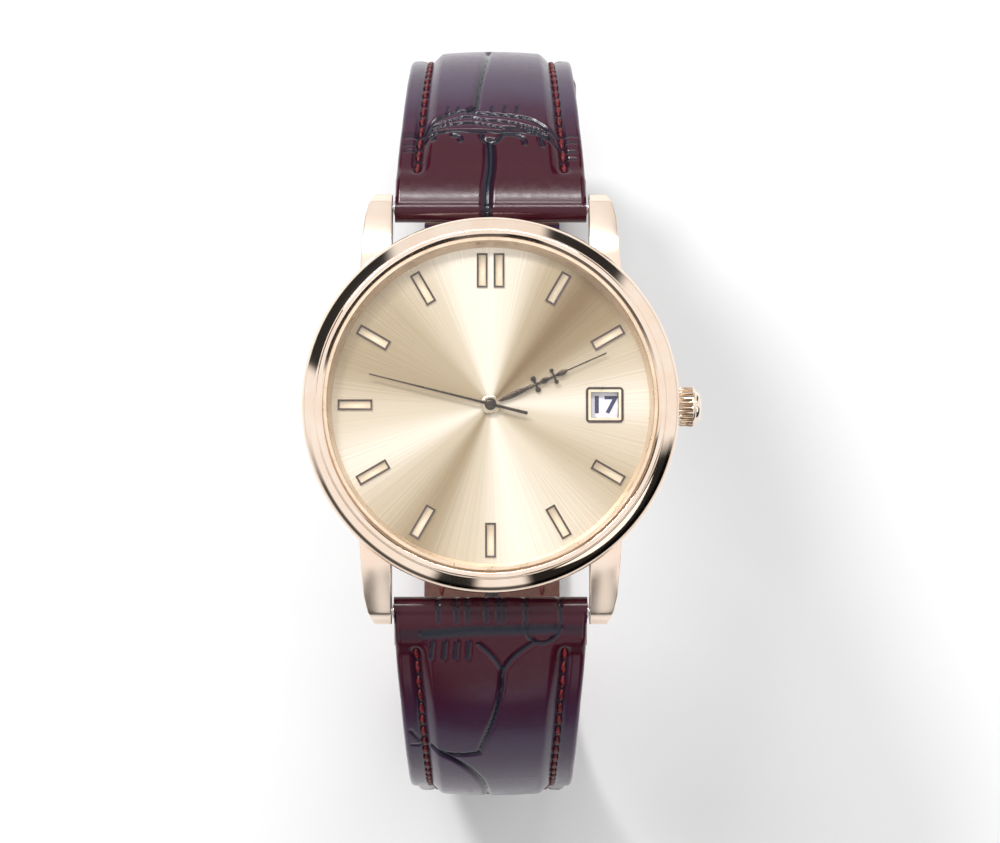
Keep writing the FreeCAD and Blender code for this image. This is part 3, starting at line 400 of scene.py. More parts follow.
# %% [markdown]
# ## Giving the carried CAD nodes their finishes
# Most of the movement is never seen with the back on, but a bench view or an open case
# shows it, so each node gets the finish of the real part.

# %% Finishes of carried nodes
CARRIED = {
    STEEL: ("case_back", "battery_clamp", "calendar_cover", "setting_lever", "yoke"),
    TURNED_STEEL: ("crown_tube", "lug_spring_bars", "buckle_spring_bar", "winding_stem",
                   "sliding_pinion", "movement_screws", "quartz_oscillator"),
    CELL: ("battery",),
    NYLON: ("movement_holder",),
    FLANGE: ("dial_ring", "crystal_gasket"),
    RUBBER: ("case_back_gasket", "crown_seal"),
    DIAL: ("dial",),
    PLASTIC: ("main_plate", "minute_wheel", "hour_wheel", "date_drive_wheel", "fifth_wheel",
              "setting_wheel"),
    BRASS: ("train_bridge", "third_wheel", "seconds_wheel", "centre_wheel", "cannon_pinion"),
    BOARD: ("circuit_board",),
    CHIP: ("control_chip",),
    IRON: ("coil_core", "stator", "rotor"),
    COPPER: ("coil_winding",),
    FELT: ("buckle_strap_padding", "tail_strap_padding"),
}
for coat, names in CARRIED.items():
    for node_name in names:
        NODES[node_name].data.materials.clear()
        NODES[node_name].data.materials.append(coat)
print("carried nodes finished", sum(len(names) for names in CARRIED.values()))


# %% [markdown]
# ## Turned pieces
# A bezel or a watch glass is turned on a lathe, and so it is here: a circle of points is
# laid on the cutter's outline and spun once about the dial's axis.

# %% Spinning an outline
def spun(name, outline, steps=180):
    """A closed outline of (radius, height above the case back) in mm, spun about Z."""
    bpy.ops.object.select_all(action="DESELECT")
    bpy.ops.mesh.primitive_circle_add(vertices=len(outline), radius=0.01)
    obj = bpy.context.object
    set_points(obj.data, [(r * MM, 0.0, BACK_Z + z * MM) for r, z in outline])
    edit_all(obj)
    bpy.ops.mesh.spin(steps=steps, angle=2 * math.pi, center=(0, 0, 0), axis=(0, 0, 1))
    leave_edit()
    clean(obj, 2e-6)
    obj.name = name
    return obj


def arc_points(start, bulge, end, count):
    """Points from start to end that pass near bulge, as one quadratic curve."""
    made = []
    for i in range(count + 1):
        t = i / count
        made.append(tuple((1 - t) ** 2 * a + 2 * t * (1 - t) * b + t * t * c
                          for a, b, c in zip(start, bulge, end)))
    return made


# %% Bezel
SHOULDER = arc_points((19.0, 6.4), (18.92, 6.98), (17.82, 7.50), 16)
STEP_UP = arc_points((17.74, 7.53), (17.62, 7.60), (17.60, 7.76), 4)
RIDGE = arc_points((17.59, 7.84), (17.56, 7.95), (17.44, 7.95), 4)
bezel = spun("bezel", [(16.6, 6.2), (18.92, 6.2), (19.0, 6.26)] + SHOULDER + STEP_UP + RIDGE
             + [(17.14, 7.95), (17.09, 7.94), (17.04, 7.89), (16.80, 7.66), (16.75, 7.60),
                (16.75, 6.8), (16.6, 6.8)])
smooth(bezel, 40)
settle(bezel, "polished_bezel", "head", GOLD, ["bezel"])

# %% Glass
glass = spun("glass", [(0.0, 6.8), (16.45, 6.8), (16.45, 7.84), (16.42, 7.90), (16.30, 7.99),
                       (16.2, 8.0), (0.0, 8.0)], 120)
smooth(glass, 30)
settle(glass, "watch_glass", "head", GLASS, ["crystal"])

# %% [markdown]
# ## The case and its lugs
# The band is turned. A lug is a bar that curves down to hold the spring bar: a grid rolled
# into a square tube along the lug, each ring of it set to the lug's width and height there,
# closed at both ends and bevelled so that its edges catch a thin line of light.

# %% Case band
band_low = arc_points((17.3, 0.3), (18.5, 0.35), (18.6, 1.4), 6)
case = spun("case", band_low + [(18.6, 6.1), (18.5, 6.2), (16.6, 6.2), (16.6, 5.0), (16.35, 5.0),
                                (16.35, 1.5), (17.15, 1.5), (17.15, 1.2), (17.22, 1.2),
                                (17.22, 0.3)])
smooth(case, 35)

# %% Lugs
LUG_STATIONS = ([12.5] + [13.6 + 0.35 * i for i in range(20)]
                + [20.5, 20.8, 21.1, 21.35, 21.6, 21.8, 21.9])
LUG_INSIDE = 10.0
INSIDE_START = 0.95


def lug_top(y):
    return 5.88 - 0.0692 * max(0.0, y - 15.0) ** 1.9 if y < 21.2 else 3.55 - 1.3 * (y - 20.95)


def lug_bottom(y):
    fall = 0.9 - 0.09 * (y - 12.5)
    return fall if y < 20.2 else 0.21 + 0.95 * ((y - 20.2) / 1.7) ** 2


def lug_outside(y):
    return np.interp(y, [12.5, 13.6, 19.2, 20.9, 21.9], [13.2, 13.2, 12.75, 12.35, 11.75])


def make_lug(side_x, side_y):
    bpy.ops.object.select_all(action="DESELECT")
    bpy.ops.mesh.primitive_grid_add(x_subdivisions=len(LUG_STATIONS) - 1, y_subdivisions=4, size=1)
    obj = bpy.context.object
    points = []
    corners = (lambda y: (LUG_INSIDE, lug_bottom(y)), lambda y: (lug_outside(y), lug_bottom(y)),
               lambda y: (lug_outside(y), lug_top(y)), lambda y: (LUG_INSIDE, lug_top(y)),
               lambda y: (LUG_INSIDE, lug_bottom(y)))
    order = [(round(v.co.y * 4 + 2), round((v.co.x + 0.5) * (len(LUG_STATIONS) - 1)))
             for v in obj.data.vertices]
    for corner, station in order:
        y = LUG_STATIONS[station]
        x, z = corners[corner](y)
        if station == 0 and x == LUG_INSIDE:
            y += INSIDE_START
        points.append((side_x * x * MM, side_y * y * MM, BACK_Z + z * MM))
    set_points(obj.data, points)
    edit_all(obj)
    bpy.ops.mesh.remove_doubles(threshold=1e-6)
    bpy.ops.mesh.fill_holes(sides=8)
    bpy.ops.mesh.normals_make_consistent(inside=False)
    leave_edit()
    apply_modifier(obj, "BEVEL", width=0.28 * MM, segments=4, limit_method="ANGLE",
                   angle_limit=math.radians(40))
    smooth(obj, 40)
    return obj


print("lug runs from", LUG_STATIONS[0], "to", LUG_STATIONS[-1], "mm out")
lugs = [make_lug(side_x, side_y) for side_x in (1, -1) for side_y in (1, -1)]
joined(case, lugs)
settle(case, "case_with_lugs", "head", CASE_GOLD, ["case_middle"])


# %% [markdown]
# ## Pieces taken over from CAD as smooth metal
# A CAD mesh is loose triangles with flat shading. A copy with its points merged can be
# shaded smooth, and it stands in for its node.

# %% Smooth copies of CAD pieces
def smooth_copy(node, name, material, degrees):
    copy = bpy.data.objects.new(name, NODES[node].data.copy())
    bpy.context.scene.collection.objects.link(copy)
    clean(copy, 2e-7)
    smooth(copy, degrees)
    body = NODES[node]["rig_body"]
    return settle(copy, name, body, material, [node])


smooth_copy("crown", "fluted_crown", CROWN_GOLD, 35)
smooth_copy("buckle_frame", "buckle_loop", GOLD, 35)
smooth_copy("buckle_tongue", "buckle_pin", GOLD, 35)


# %% [markdown]
# ## Applied marks and date frame
# A baton is a frame of brown lacquer round a pale floor. Height tells the two apart: the
# rim stands above the sunk floor, so the colour is a step on Z.

# %% Marks
def stepped_finish(name, low_colour, high_colour, height):
    made, nodes, links, shader = finish(name, high_colour, 0.0, 0.45)
    above = calc(nodes, links, "GREATER_THAN", parts_of(nodes, links, object_space(nodes))["Z"], height)
    links.new(ramp(nodes, links, above, [(0.0, low_colour), (1.0, high_colour)]),
              shader.inputs["Base Color"])
    return made


BATON = stepped_finish("lacquered baton", (0.86, 0.70, 0.50), (0.050, 0.024, 0.018),
                       DIAL_TOP + 0.14 * MM)
smooth_copy("hour_markers", "baton_marks", BATON, 30)
BROWN = speckled("brown lacquer", (0.035, 0.014, 0.010), (0.060, 0.024, 0.016), 900.0, 0.3, (0.25, 0.4))
CREAM = speckled("cream bevel", (0.80, 0.68, 0.46), (0.92, 0.82, 0.62), 900.0, 0.3, (0.25, 0.4))
surround = smooth_copy("date_frame", "date_surround", BROWN, 30)
surround.data.materials.append(CREAM)
frame_low, frame_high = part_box("date_frame")
frame_middle = (frame_low + frame_high) / 2
BROWN_LINE = 0.24 * MM
edit_all(surround)
bpy.ops.mesh.select_all(action="DESELECT")
leave_edit()
for face in surround.data.polygons:
    face.select = face.normal.z > 0.9
bpy.ops.object.mode_set(mode="EDIT")
bpy.ops.mesh.select_mode(type="FACE")
bpy.ops.mesh.inset(thickness=BROWN_LINE, use_even_offset=True)
leave_edit()
for face in surround.data.polygons:
    off = face.center - frame_middle
    inside_x = abs(off.x) < frame_high.x - frame_middle.x - BROWN_LINE
    inside_y = abs(off.y) < frame_high.y - frame_middle.y - BROWN_LINE
    face.material_index = int(inside_x and inside_y)


# %% [markdown]
# ## The three hands
# The hour and minute hands are dress hands: a long leaf, balls on a cross bar, a knot, a
# short leaf and a needle. The seconds hand is one thin blade with a tail. All are cut from
# flat stock, so their parts are bevelled plates at the hand's height, joined to a turned hub.

# %% Hand parts
def flat_part(outline, z, thick):
    """A flat plate from an outline in mm along +Y, with its top edge rounded over."""
    bpy.ops.object.select_all(action="DESELECT")
    bpy.ops.mesh.primitive_circle_add(vertices=len(outline), radius=0.01, fill_type="NGON")
    obj = bpy.context.object
    set_points(obj.data, [(x * MM, y * MM, z) for x, y in outline])
    edit_all(obj)
    bpy.ops.mesh.extrude_region_move(TRANSFORM_OT_translate={"value": (0, 0, thick)})
    bpy.ops.mesh.select_all(action="SELECT")
    bpy.ops.mesh.normals_make_consistent(inside=False)
    leave_edit()
    apply_modifier(obj, "BEVEL", width=0.03 * MM, segments=2, limit_method="ANGLE",
                   angle_limit=math.radians(50))
    return obj


def leaf(start, end, half):
    """A pointed oval along +Y."""
    right = arc_points((0.05, start), (half * 2 - 0.05, (start + end) / 2), (0.02, end), 10)
    return right + [(-x, y) for x, y in reversed(right)]


def spot(x, y, radius, count=16):
    return [(x + radius * math.cos(2 * math.pi * i / count), y + radius * math.sin(2 * math.pi * i / count))
            for i in range(count)]


def bar(x0, x1, y0, y1):
    return [(x0, y0), (x1, y0), (x1, y1), (x0, y1)]


def dress_hand(name, node, parts, hub_outline, up, clock_degrees, hub_finish):
    """Joins a hub and its flat parts, up mm above the case back, and turns them to their place."""
    made = [flat_part(outline, BACK_Z + up * MM, HAND_THICK * MM) for outline in parts]
    hub = spun("hub", hub_outline, 48)
    hub.data.transform(Matrix.Translation((0, 0, up * MM)))
    hub.data.materials.append(hub_finish)
    for part in made:
        part.data.materials.append(BRONZE)
    joined(hub, made)
    hub.data.transform(Matrix.Rotation(math.radians(-clock_degrees), 4, "Z"))
    smooth(hub, 30)
    settle(hub, name, NODES[node]["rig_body"], None, [node])


def collar(hole):
    """The outline of a flat hub with a hole for the pipe it is pressed on."""
    return [(hole, 0.0), (0.95, 0.0), (0.95, 0.08), (0.86, 0.12), (hole, 0.12)]


HAND_THICK = 0.12
HOUR_UP, MINUTE_UP, SECONDS_UP = 5.6, 5.95, 6.3
HOUR_ANGLE, MINUTE_ANGLE, SECONDS_ANGLE = 65.5, 66.0, 284.0
HOUR_PARTS = [leaf(0.8, 4.6, 0.30), bar(-0.12, 0.12, 4.3, 6.0), bar(-0.60, 0.60, 4.90, 5.10),
              spot(0.60, 5.0, 0.28), spot(-0.60, 5.0, 0.28), spot(0.0, 4.45, 0.22),
              leaf(5.4, 6.6, 0.30), bar(-0.05, 0.05, 6.3, 7.5)]
MINUTE_PARTS = [leaf(0.8, 5.4, 0.22), bar(-0.11, 0.11, 5.0, 7.6), spot(0.0, 6.0, 0.28),
                bar(-0.60, 0.60, 6.90, 7.10), spot(0.62, 7.0, 0.22), spot(-0.62, 7.0, 0.22),
                leaf(7.2, 8.6, 0.28), bar(-0.07, 0.07, 8.3, 12.8)]
SECONDS_PARTS = [[(-0.17, -3.75), (-0.09, -3.85), (0.09, -3.85), (0.17, -3.75), (0.13, 0.0),
                  (0.07, 12.6), (-0.07, 12.6), (-0.13, 0.0)]]
DOME = [(0.2, 0.0), (0.60, 0.0), (0.60, 0.12), (0.56, 0.19), (0.46, 0.25), (0.30, 0.29), (0.0, 0.30),
        (0.0, 0.16), (0.2, 0.16)]
dress_hand("hour_pointer", "hour_hand", HOUR_PARTS, collar(0.8), HOUR_UP, HOUR_ANGLE, HUB_GOLD)
dress_hand("minute_pointer", "minute_hand", MINUTE_PARTS, collar(0.5), MINUTE_UP, MINUTE_ANGLE,
           HUB_GOLD)
dress_hand("sweep_hand", "seconds_hand", SECONDS_PARTS, DOME, SECONDS_UP, SECONDS_ANGLE, BRONZE)

# %% [markdown]
# ## The date ring
# The ring carries 1 to 31, and 17 stands in the window at 3 o'clock. Each number is plain
# text turned into a mesh and set a thirty-first of a turn on from the last.

# %% Date numbers
DATE_RADIUS = 11.42 * MM
SHOWN_DATE = 17
DAYS = 31
DATE_PAPER = speckled("date print base", (0.78, 0.76, 0.86), (0.88, 0.86, 0.93), 800.0, 0.0,
                      (0.5, 0.6), 1e-6)
NODES["date_ring"].data.materials.clear()
NODES["date_ring"].data.materials.append(DATE_PAPER)


def date_number(day):
    bpy.ops.object.select_all(action="DESELECT")
    bpy.ops.object.text_add()
    text = bpy.context.object
    text.data.body = str(day)
    text.data.align_x = "CENTER"
    text.data.align_y = "CENTER"
    text.data.size = 2.4 * MM
    text.data.offset = 0.055 * MM
    text.data.extrude = 0.01 * MM
    bpy.ops.object.convert(target="MESH")
    number = bpy.context.object
    turn = 2 * math.pi * (day - SHOWN_DATE) / DAYS
    place = Matrix.Rotation(turn, 4, "Z") @ Matrix.Translation((DATE_RADIUS, 0, BACK_Z + 4.712 * MM))
    number.data.transform(place @ Matrix.Diagonal((1.18, 1.0, 1.0, 1.0)))
    return number


numbers = [date_number(day) for day in range(1, DAYS + 1)]
settle(joined(numbers[0], numbers[1:]), "date_numbers", "date_ring", NAVY)


# %% [markdown]
# ## The strap's route
# Both halves follow the same kind of line: out from the lug bar, over a shoulder, down the
# side, round a low bend and flat along the rest plane. A point of the strap is a distance
# along that line, a place across it and a height off it.

# %% Route of a strap half
BAR_OUT = 20.6
BAR_UP = BACK_Z / MM + 1.6
HALF_THICK = 1.5
FALL = math.radians(20)
LOW_BEND = 16.5


class Half:
    """One half of the strap: its side, length and route."""

    def __init__(self, side, widest, length):
        self.side = side
        self.length = length
        shoulder = (widest - BAR_OUT - 2 * math.cos(FALL)) / (1 - math.sin(FALL))
        drop = BAR_UP - 2 * math.sin(FALL) - shoulder * math.cos(FALL) - HALF_THICK - LOW_BEND
        self.stretches = [(2.0, 0.0), (shoulder * (math.pi / 2 - FALL), shoulder), (drop, 0.0),
                          (LOW_BEND * math.pi / 2, LOW_BEND), (1e3, 0.0)]

    def at(self, s, d):
        """Places out from the dial and up, in mm, for distances s and heights d."""
        s = np.asarray(s, float)
        u = np.full(s.shape, BAR_OUT)
        v = np.full(s.shape, BAR_UP)
        heading = np.full(s.shape, -FALL)
        left = s.copy()
        for number, (length, radius) in enumerate(self.stretches):
            used = np.minimum(left, length) if number == 0 else np.clip(left, 0.0, length)
            if radius:
                turned = heading - used / radius
                u += radius * (np.sin(heading) - np.sin(turned))
                v += radius * (np.cos(turned) - np.cos(heading))
                heading = turned
            else:
                u += used * np.cos(heading)
                v += used * np.sin(heading)
            left = left - used
        return u - np.sin(heading) * d, v + np.cos(heading) * d, heading


BUCKLE_HALF = Half(1, 39.2, 80.0)
TAIL_HALF = Half(-1, 37.3, 114.8)
print("shoulder radii in mm", [round(half.stretches[1][1], 2) for half in (BUCKLE_HALF, TAIL_HALF)])
WIDTH_HEIGHTS = (-1.0, 12.0, 52.0, 57.0, 61.0, 64.0, 65.8, 67.0)
WIDTH_HALVES = (8.0, 8.0, 8.65, 8.9, 9.2, 9.6, 9.8, 9.85)


def half_width(half, s):
    _, up, _ = half.at(s, 0.0)
    return np.interp(up, WIDTH_HEIGHTS, WIDTH_HALVES)


def step(low, high, x):
    t = np.clip((x - low) / (high - low), 0.0, 1.0)
    return t * t * (3 - 2 * t)


# %% [markdown]
# ### Creases
# Embossed crocodile has a few long folds between smooth plates, and bands of short folds
# where the hide would flex. The folds near the case are drawn as short lines of
# (across, along) in mm; further round, where each strap is the same, they repeat in a loop.

# %% Crease lines
BUCKLE_CREASES = [
    ([(-0.4, -7.0), (-0.4, 1.6), (-0.1, 3.2), (0.0, 4.8), (-0.1, 6.75)], 0.50, 0.42),
    ([(-1.1, 7.85), (-0.7, 6.9), (0.0, 6.6), (0.85, 7.05), (1.3, 7.85)], 0.24, 0.30),
    ([(-6.75, 8.15), (-6.05, 9.6), (-4.9, 10.25), (-2.95, 11.05), (-1.8, 10.65), (-0.7, 10.55),
      (1.85, 10.25), (4.1, 9.9), (5.35, 8.9), (6.6, 8.15)], 0.22, 0.36),
    ([(-6.6, 8.35), (-5.75, 9.15), (-4.05, 9.6), (-2.4, 10.25), (-1.0, 9.6), (0.9, 9.45), (2.7, 9.15),
      (4.65, 8.5), (6.05, 8.15)], 0.17, 0.30),
    ([(-6.6, 8.15), (-5.2, 8.8), (-3.5, 9.15), (-1.8, 9.25), (-0.4, 8.9), (1.4, 8.5), (3.25, 8.6),
      (4.95, 8.05), (6.35, 7.45)], 0.17, 0.30),
    ([(-6.75, 7.25), (-5.9, 8.05), (-4.35, 8.2), (-1.8, 8.15), (0.45, 8.0), (2.55, 8.05), (4.4, 8.0),
      (5.65, 7.45), (6.8, 6.75)], 0.18, 0.34),
    ([(-5.95, 7.9), (-5.9, 7.2)], 0.24, 0.24), ([(-3.9, 7.7), (-3.2, 7.6), (-3.1, 7.0)], 0.24, 0.24),
    ([(1.4, 7.75), (2.7, 7.75), (3.4, 7.25), (3.55, 6.6)], 0.22, 0.26),
    ([(5.1, 7.25), (5.4, 6.45)], 0.24, 0.26),
    ([(-2.2, 11.05), (-1.55, 11.25), (-1.45, 12.65), (-1.3, 15.0), (-0.9, 18.0), (-0.45, 22.7),
      (-0.3, 27.0)], 0.32, 0.42),
]
for across in (-4.5, -3.45, 0.05, 1.4, 2.65):
    BUCKLE_CREASES.append(([(across, 10.6), (across + 0.1, 11.5)], 0.14, 0.14))
for along in (8.5, 8.1, 7.1, 6.3):
    BUCKLE_CREASES.append(([(-8.8, along), (-8.3, along + 0.15), (-7.7, along)], 0.20, 0.24))
for along in (8.3, 7.4, 6.2, 5.3):
    BUCKLE_CREASES.append(([(7.6, along), (8.3, along + 0.1), (8.8, along)], 0.20, 0.24))
TAIL_CREASES = [
    ([(-10.0, 2.1), (-6.0, 2.0), (-2.0, 1.6), (2.0, 1.6), (6.0, 1.4), (10.0, 1.6)], 0.50, 0.16),
    ([(3.4, 1.0), (3.8, 2.4), (5.0, 3.0), (6.3, 2.6), (7.3, 1.3)], 0.20, 0.20),
    ([(-1.2, 3.0), (-0.1, 3.9), (0.8, 5.0), (1.2, 5.8)], 0.20, 0.24),
    ([(4.2, 2.9), (2.4, 4.1), (1.5, 5.2), (1.2, 5.8)], 0.22, 0.28),
    ([(1.2, 5.8), (1.0, 8.0), (0.2, 11.5), (-0.9, 14.6), (-1.2, 15.8)], 0.23, 0.32),
    ([(-1.2, 15.8), (-2.6, 16.2), (-4.2, 16.2), (-5.9, 15.6)], 0.22, 0.32),
    ([(-5.9, 15.6), (-3.5, 17.2), (-1.9, 19.2), (-0.9, 21.5), (-0.4, 25.0), (-0.3, 31.0)], 0.28, 0.42),
    ([(-8.2, 13.6), (-7.2, 15.2)], 0.22, 0.25), ([(-8.1, 15.8), (-7.1, 15.9)], 0.2, 0.2),
]
for across in (-5.4, -3.6, -2.5, -0.6, 0.6, 1.2, 3.4, 6.9):
    TAIL_CREASES.append(([(across, -4.0), (across + 0.15, 0.7)], 0.20, 0.13))
for across in (-5.9, -4.6, -3.4, -2.2):
    TAIL_CREASES.append(([(across, 2.8), (across - 0.15, 4.4)], 0.22, 0.10))


def far_creases(first, last):
    """Bands of folds across and a wandering fold along, for the stretch past the shoulder."""
    made = []
    along = first
    number = 0
    while along < last:
        lean = 0.9 * math.sin(1.7 * number)
        for row in range(3):
            s = along + row * 0.95
            made.append(([(-7.4, s - 1.2), (-4.0, s + 0.2), (lean, s + 0.6), (4.0, s + 0.1),
                          (7.4, s - 1.3)], 0.24, 0.34))
        start = along + 2.6
        middle = 1.4 * math.sin(2.3 * number + 1.0)
        made.append(([(lean, start), (middle, start + 3.6), (-lean, start + 7.4)], 0.26, 0.40))
        along += 10.0
        number += 1
    return made


def nearest(points, t, s):
    """Distance in mm from each (t, s) to a line through the points."""
    best = np.full(t.shape, 1e3)
    for (t0, s0), (t1, s1) in zip(points[:-1], points[1:]):
        dt, ds = t1 - t0, s1 - s0
        share = np.clip(((t - t0) * dt + (s - s0) * ds) / (dt * dt + ds * ds), 0.0, 1.0)
        best = np.minimum(best, np.hypot(t - t0 - share * dt, s - s0 - share * ds))
    return best


def rounded_line(points):
    """The same line with its corners cut twice, so that a fold bends smoothly."""
    line = [np.array(p, float) for p in points]
    for _ in range(2):
        if len(line) < 3:
            break
        cut = [line[0]]
        for a, b in zip(line[:-1], line[1:]):
            cut += [0.75 * a + 0.25 * b, 0.25 * a + 0.75 * b]
        line = cut + [line[-1]]
    return [tuple(p) for p in line]


def folds(lines, t, s):
    """How far the surface drops, in mm, and how deep in a fold each point is, 0 to 1."""
    drop = np.zeros(t.shape)
    inside = np.zeros(t.shape)
    for points, width, depth in lines:
        near = nearest(rounded_line(points), t, s)
        drop = np.maximum(drop, depth * np.exp(-((near / width) ** 2)))
        inside = np.maximum(inside, np.exp(-((near / (width * 1.1)) ** 4)))
        drop -= 0.10 * depth * np.exp(-(((near - 2.2 * width) / width) ** 2))
    return drop, inside


# %% [markdown]
# ### The strap's cover
# The outer leather is one skin: it starts folded under the lining, wraps round the lug bar
# and runs to the end. Its cross-section is low at the edges, dips where it is stitched and
# swells over the padding. A grid is laid on that shape row by row, then closed.

# %% Cover shape
STITCH_IN = 2.1
EDGE_ROUND = 0.55
WRAP = 4.0
UNDER = -0.6
INNER_NEAR, INNER_FAR = 0.86, 0.75
INNER_PLACES = [0.0, 0.9, 2.2]
CLOSE_WORK = 24.0
FINE_ROW, COARSE_ROW = 0.14, 0.34
END_FALL = 0.30
SKIN_SMOOTH = 50
PAD_FROM, PAD_TO = 2.4, 4.6
PAD_FADE = 9.0
EDGE_HIGH = 1.48
EDGE_SINK = 0.62
END_SINK = 0.18
SWELL = 0.62
CROWN = 0.44
CHANNEL_DEEP, CHANNEL_WIDE = 0.34, 0.42
CREASE_SHARE = 0.8
MARGIN_FADE = 0.55


def cover_top(half, t, s, w, lines, pad_end):
    """Height of the outer skin above the centre line, in mm, and the painted crease shade mask."""
    end_in = step(pad_end, pad_end + PAD_FADE, s)
    pad = step(PAD_FROM, PAD_TO, s) * (1 - end_in)
    margin = EDGE_HIGH - EDGE_SINK * pad - END_SINK * end_in
    stitch = w - STITCH_IN
    rise = step(0.1, 1.5, stitch - np.abs(t))
    crown = np.clip(1 - (t / np.maximum(stitch, 0.1)) ** 2, 0.0, 1.0) ** 0.75
    fullness = step(PAD_FROM, 10.0, s) * (1 - 0.85 * step(26.0, 38.0, s))
    swell = pad * rise * (SWELL + CROWN * crown * fullness)
    channel = np.exp(-(((np.abs(t) - stitch) / CHANNEL_WIDE) ** 2)) * step(3.2, 4.0, s)
    drop, inside = folds(lines, t, s)
    fade = np.where(np.abs(t) > stitch - 0.4, MARGIN_FADE, 1.0)
    height = margin + swell - CHANNEL_DEEP * channel - drop * fade * CREASE_SHARE
    height -= END_FALL * np.clip(1 - s / 2.6, 0.0, 1.0) ** 2
    away = np.clip(EDGE_ROUND - (w - np.abs(t)), 0.0, EDGE_ROUND)
    height -= EDGE_ROUND - np.sqrt(np.maximum(EDGE_ROUND ** 2 - away ** 2, 0.0))
    return height, np.clip(inside * fade + 0.85 * channel, 0.0, 1.0)


def across_shares(count):
    """Shares of the half width from -1 to 1, closer together towards the edges."""
    even = np.linspace(-1, 1, count)
    return np.sin(even * math.pi / 2) * 0.35 + even * 0.65


def tip_share(half, s, pointed):
    """Narrowing of the tail's last stretch to a rounded point."""
    if not pointed:
        return np.ones(s.shape)
    x = np.clip((s - (half.length - pointed)) / pointed, 0.0, 1.0)
    return np.sqrt(np.maximum(1 - x * x, 0.0)) + 1e-4


def cover_rows(half, far_round, pointed):
    """Row positions q along the skin: negative is round the lug bar and under it."""
    bend_long = HALF_THICK * math.pi
    near = np.linspace(-(bend_long + WRAP), -bend_long, 8)[:-1]
    bend = np.linspace(-bend_long, 0.0, 22)[:-1]
    close = np.arange(0.0, CLOSE_WORK, FINE_ROW)
    last = half.length - pointed
    rest = np.linspace(CLOSE_WORK, last, int((last - CLOSE_WORK) / COARSE_ROW))
    rows = [near, bend, close, rest]
    if pointed:
        rows.append(last + pointed * np.sin(np.linspace(0.0, math.pi / 2, 44))[1:])
    if far_round:
        rows.append(np.linspace(half.length, half.length + bend_long + WRAP, 30)[1:])
    return np.concatenate(rows)


def skin_point(half, q, height):
    """Out and up for a place q along the skin and a height off the centre line."""
    s = np.clip(q, 0.0, half.length)
    u, v, heading = half.at(s, 0.0)
    nu, nv = -np.sin(heading), np.cos(heading)
    du, dv = np.cos(heading), np.sin(heading)
    past = np.where(q < 0, -q, q - half.length)
    turn = np.clip(past / HALF_THICK, 0.0, math.pi)
    way = np.where(q < 0, -1.0, 1.0)
    under = np.maximum(past - HALF_THICK * math.pi, 0.0)
    cos, sin = np.cos(turn), np.sin(turn) * way
    su, sv, sh = half.at(np.where(q < 0, under, half.length - under), 0.0)
    flat = under > 0
    u, v = np.where(flat, su, u), np.where(flat, sv, v)
    nu, nv = np.where(flat, -np.sin(sh), nu), np.where(flat, np.cos(sh), nv)
    return u + height * (cos * nu + sin * du), v + height * (cos * nv + sin * dv)


def flat_grid(columns, rows):
    """A loop of points round each row: columns wraps round, rows runs along."""
    bpy.ops.object.select_all(action="DESELECT")
    bpy.ops.mesh.primitive_grid_add(x_subdivisions=columns, y_subdivisions=rows - 1, size=1)
    obj = bpy.context.object
    place = np.array([v.co for v in obj.data.vertices])
    column = np.rint((place[:, 0] + 0.5) * columns).astype(int) % columns
    row = np.rint((place[:, 1] + 0.5) * (rows - 1)).astype(int)
    return obj, column, row


def close_ends(obj, distance):
    """Merges the seam where the columns meet and puts a face on each open end."""
    edit_all(obj)
    bpy.ops.mesh.remove_doubles(threshold=distance)
    bpy.ops.mesh.select_all(action="DESELECT")
    bpy.ops.mesh.select_mode(type="EDGE")
    bpy.ops.mesh.select_non_manifold(extend=False)
    bpy.ops.mesh.edge_face_add()
    leave_edit()


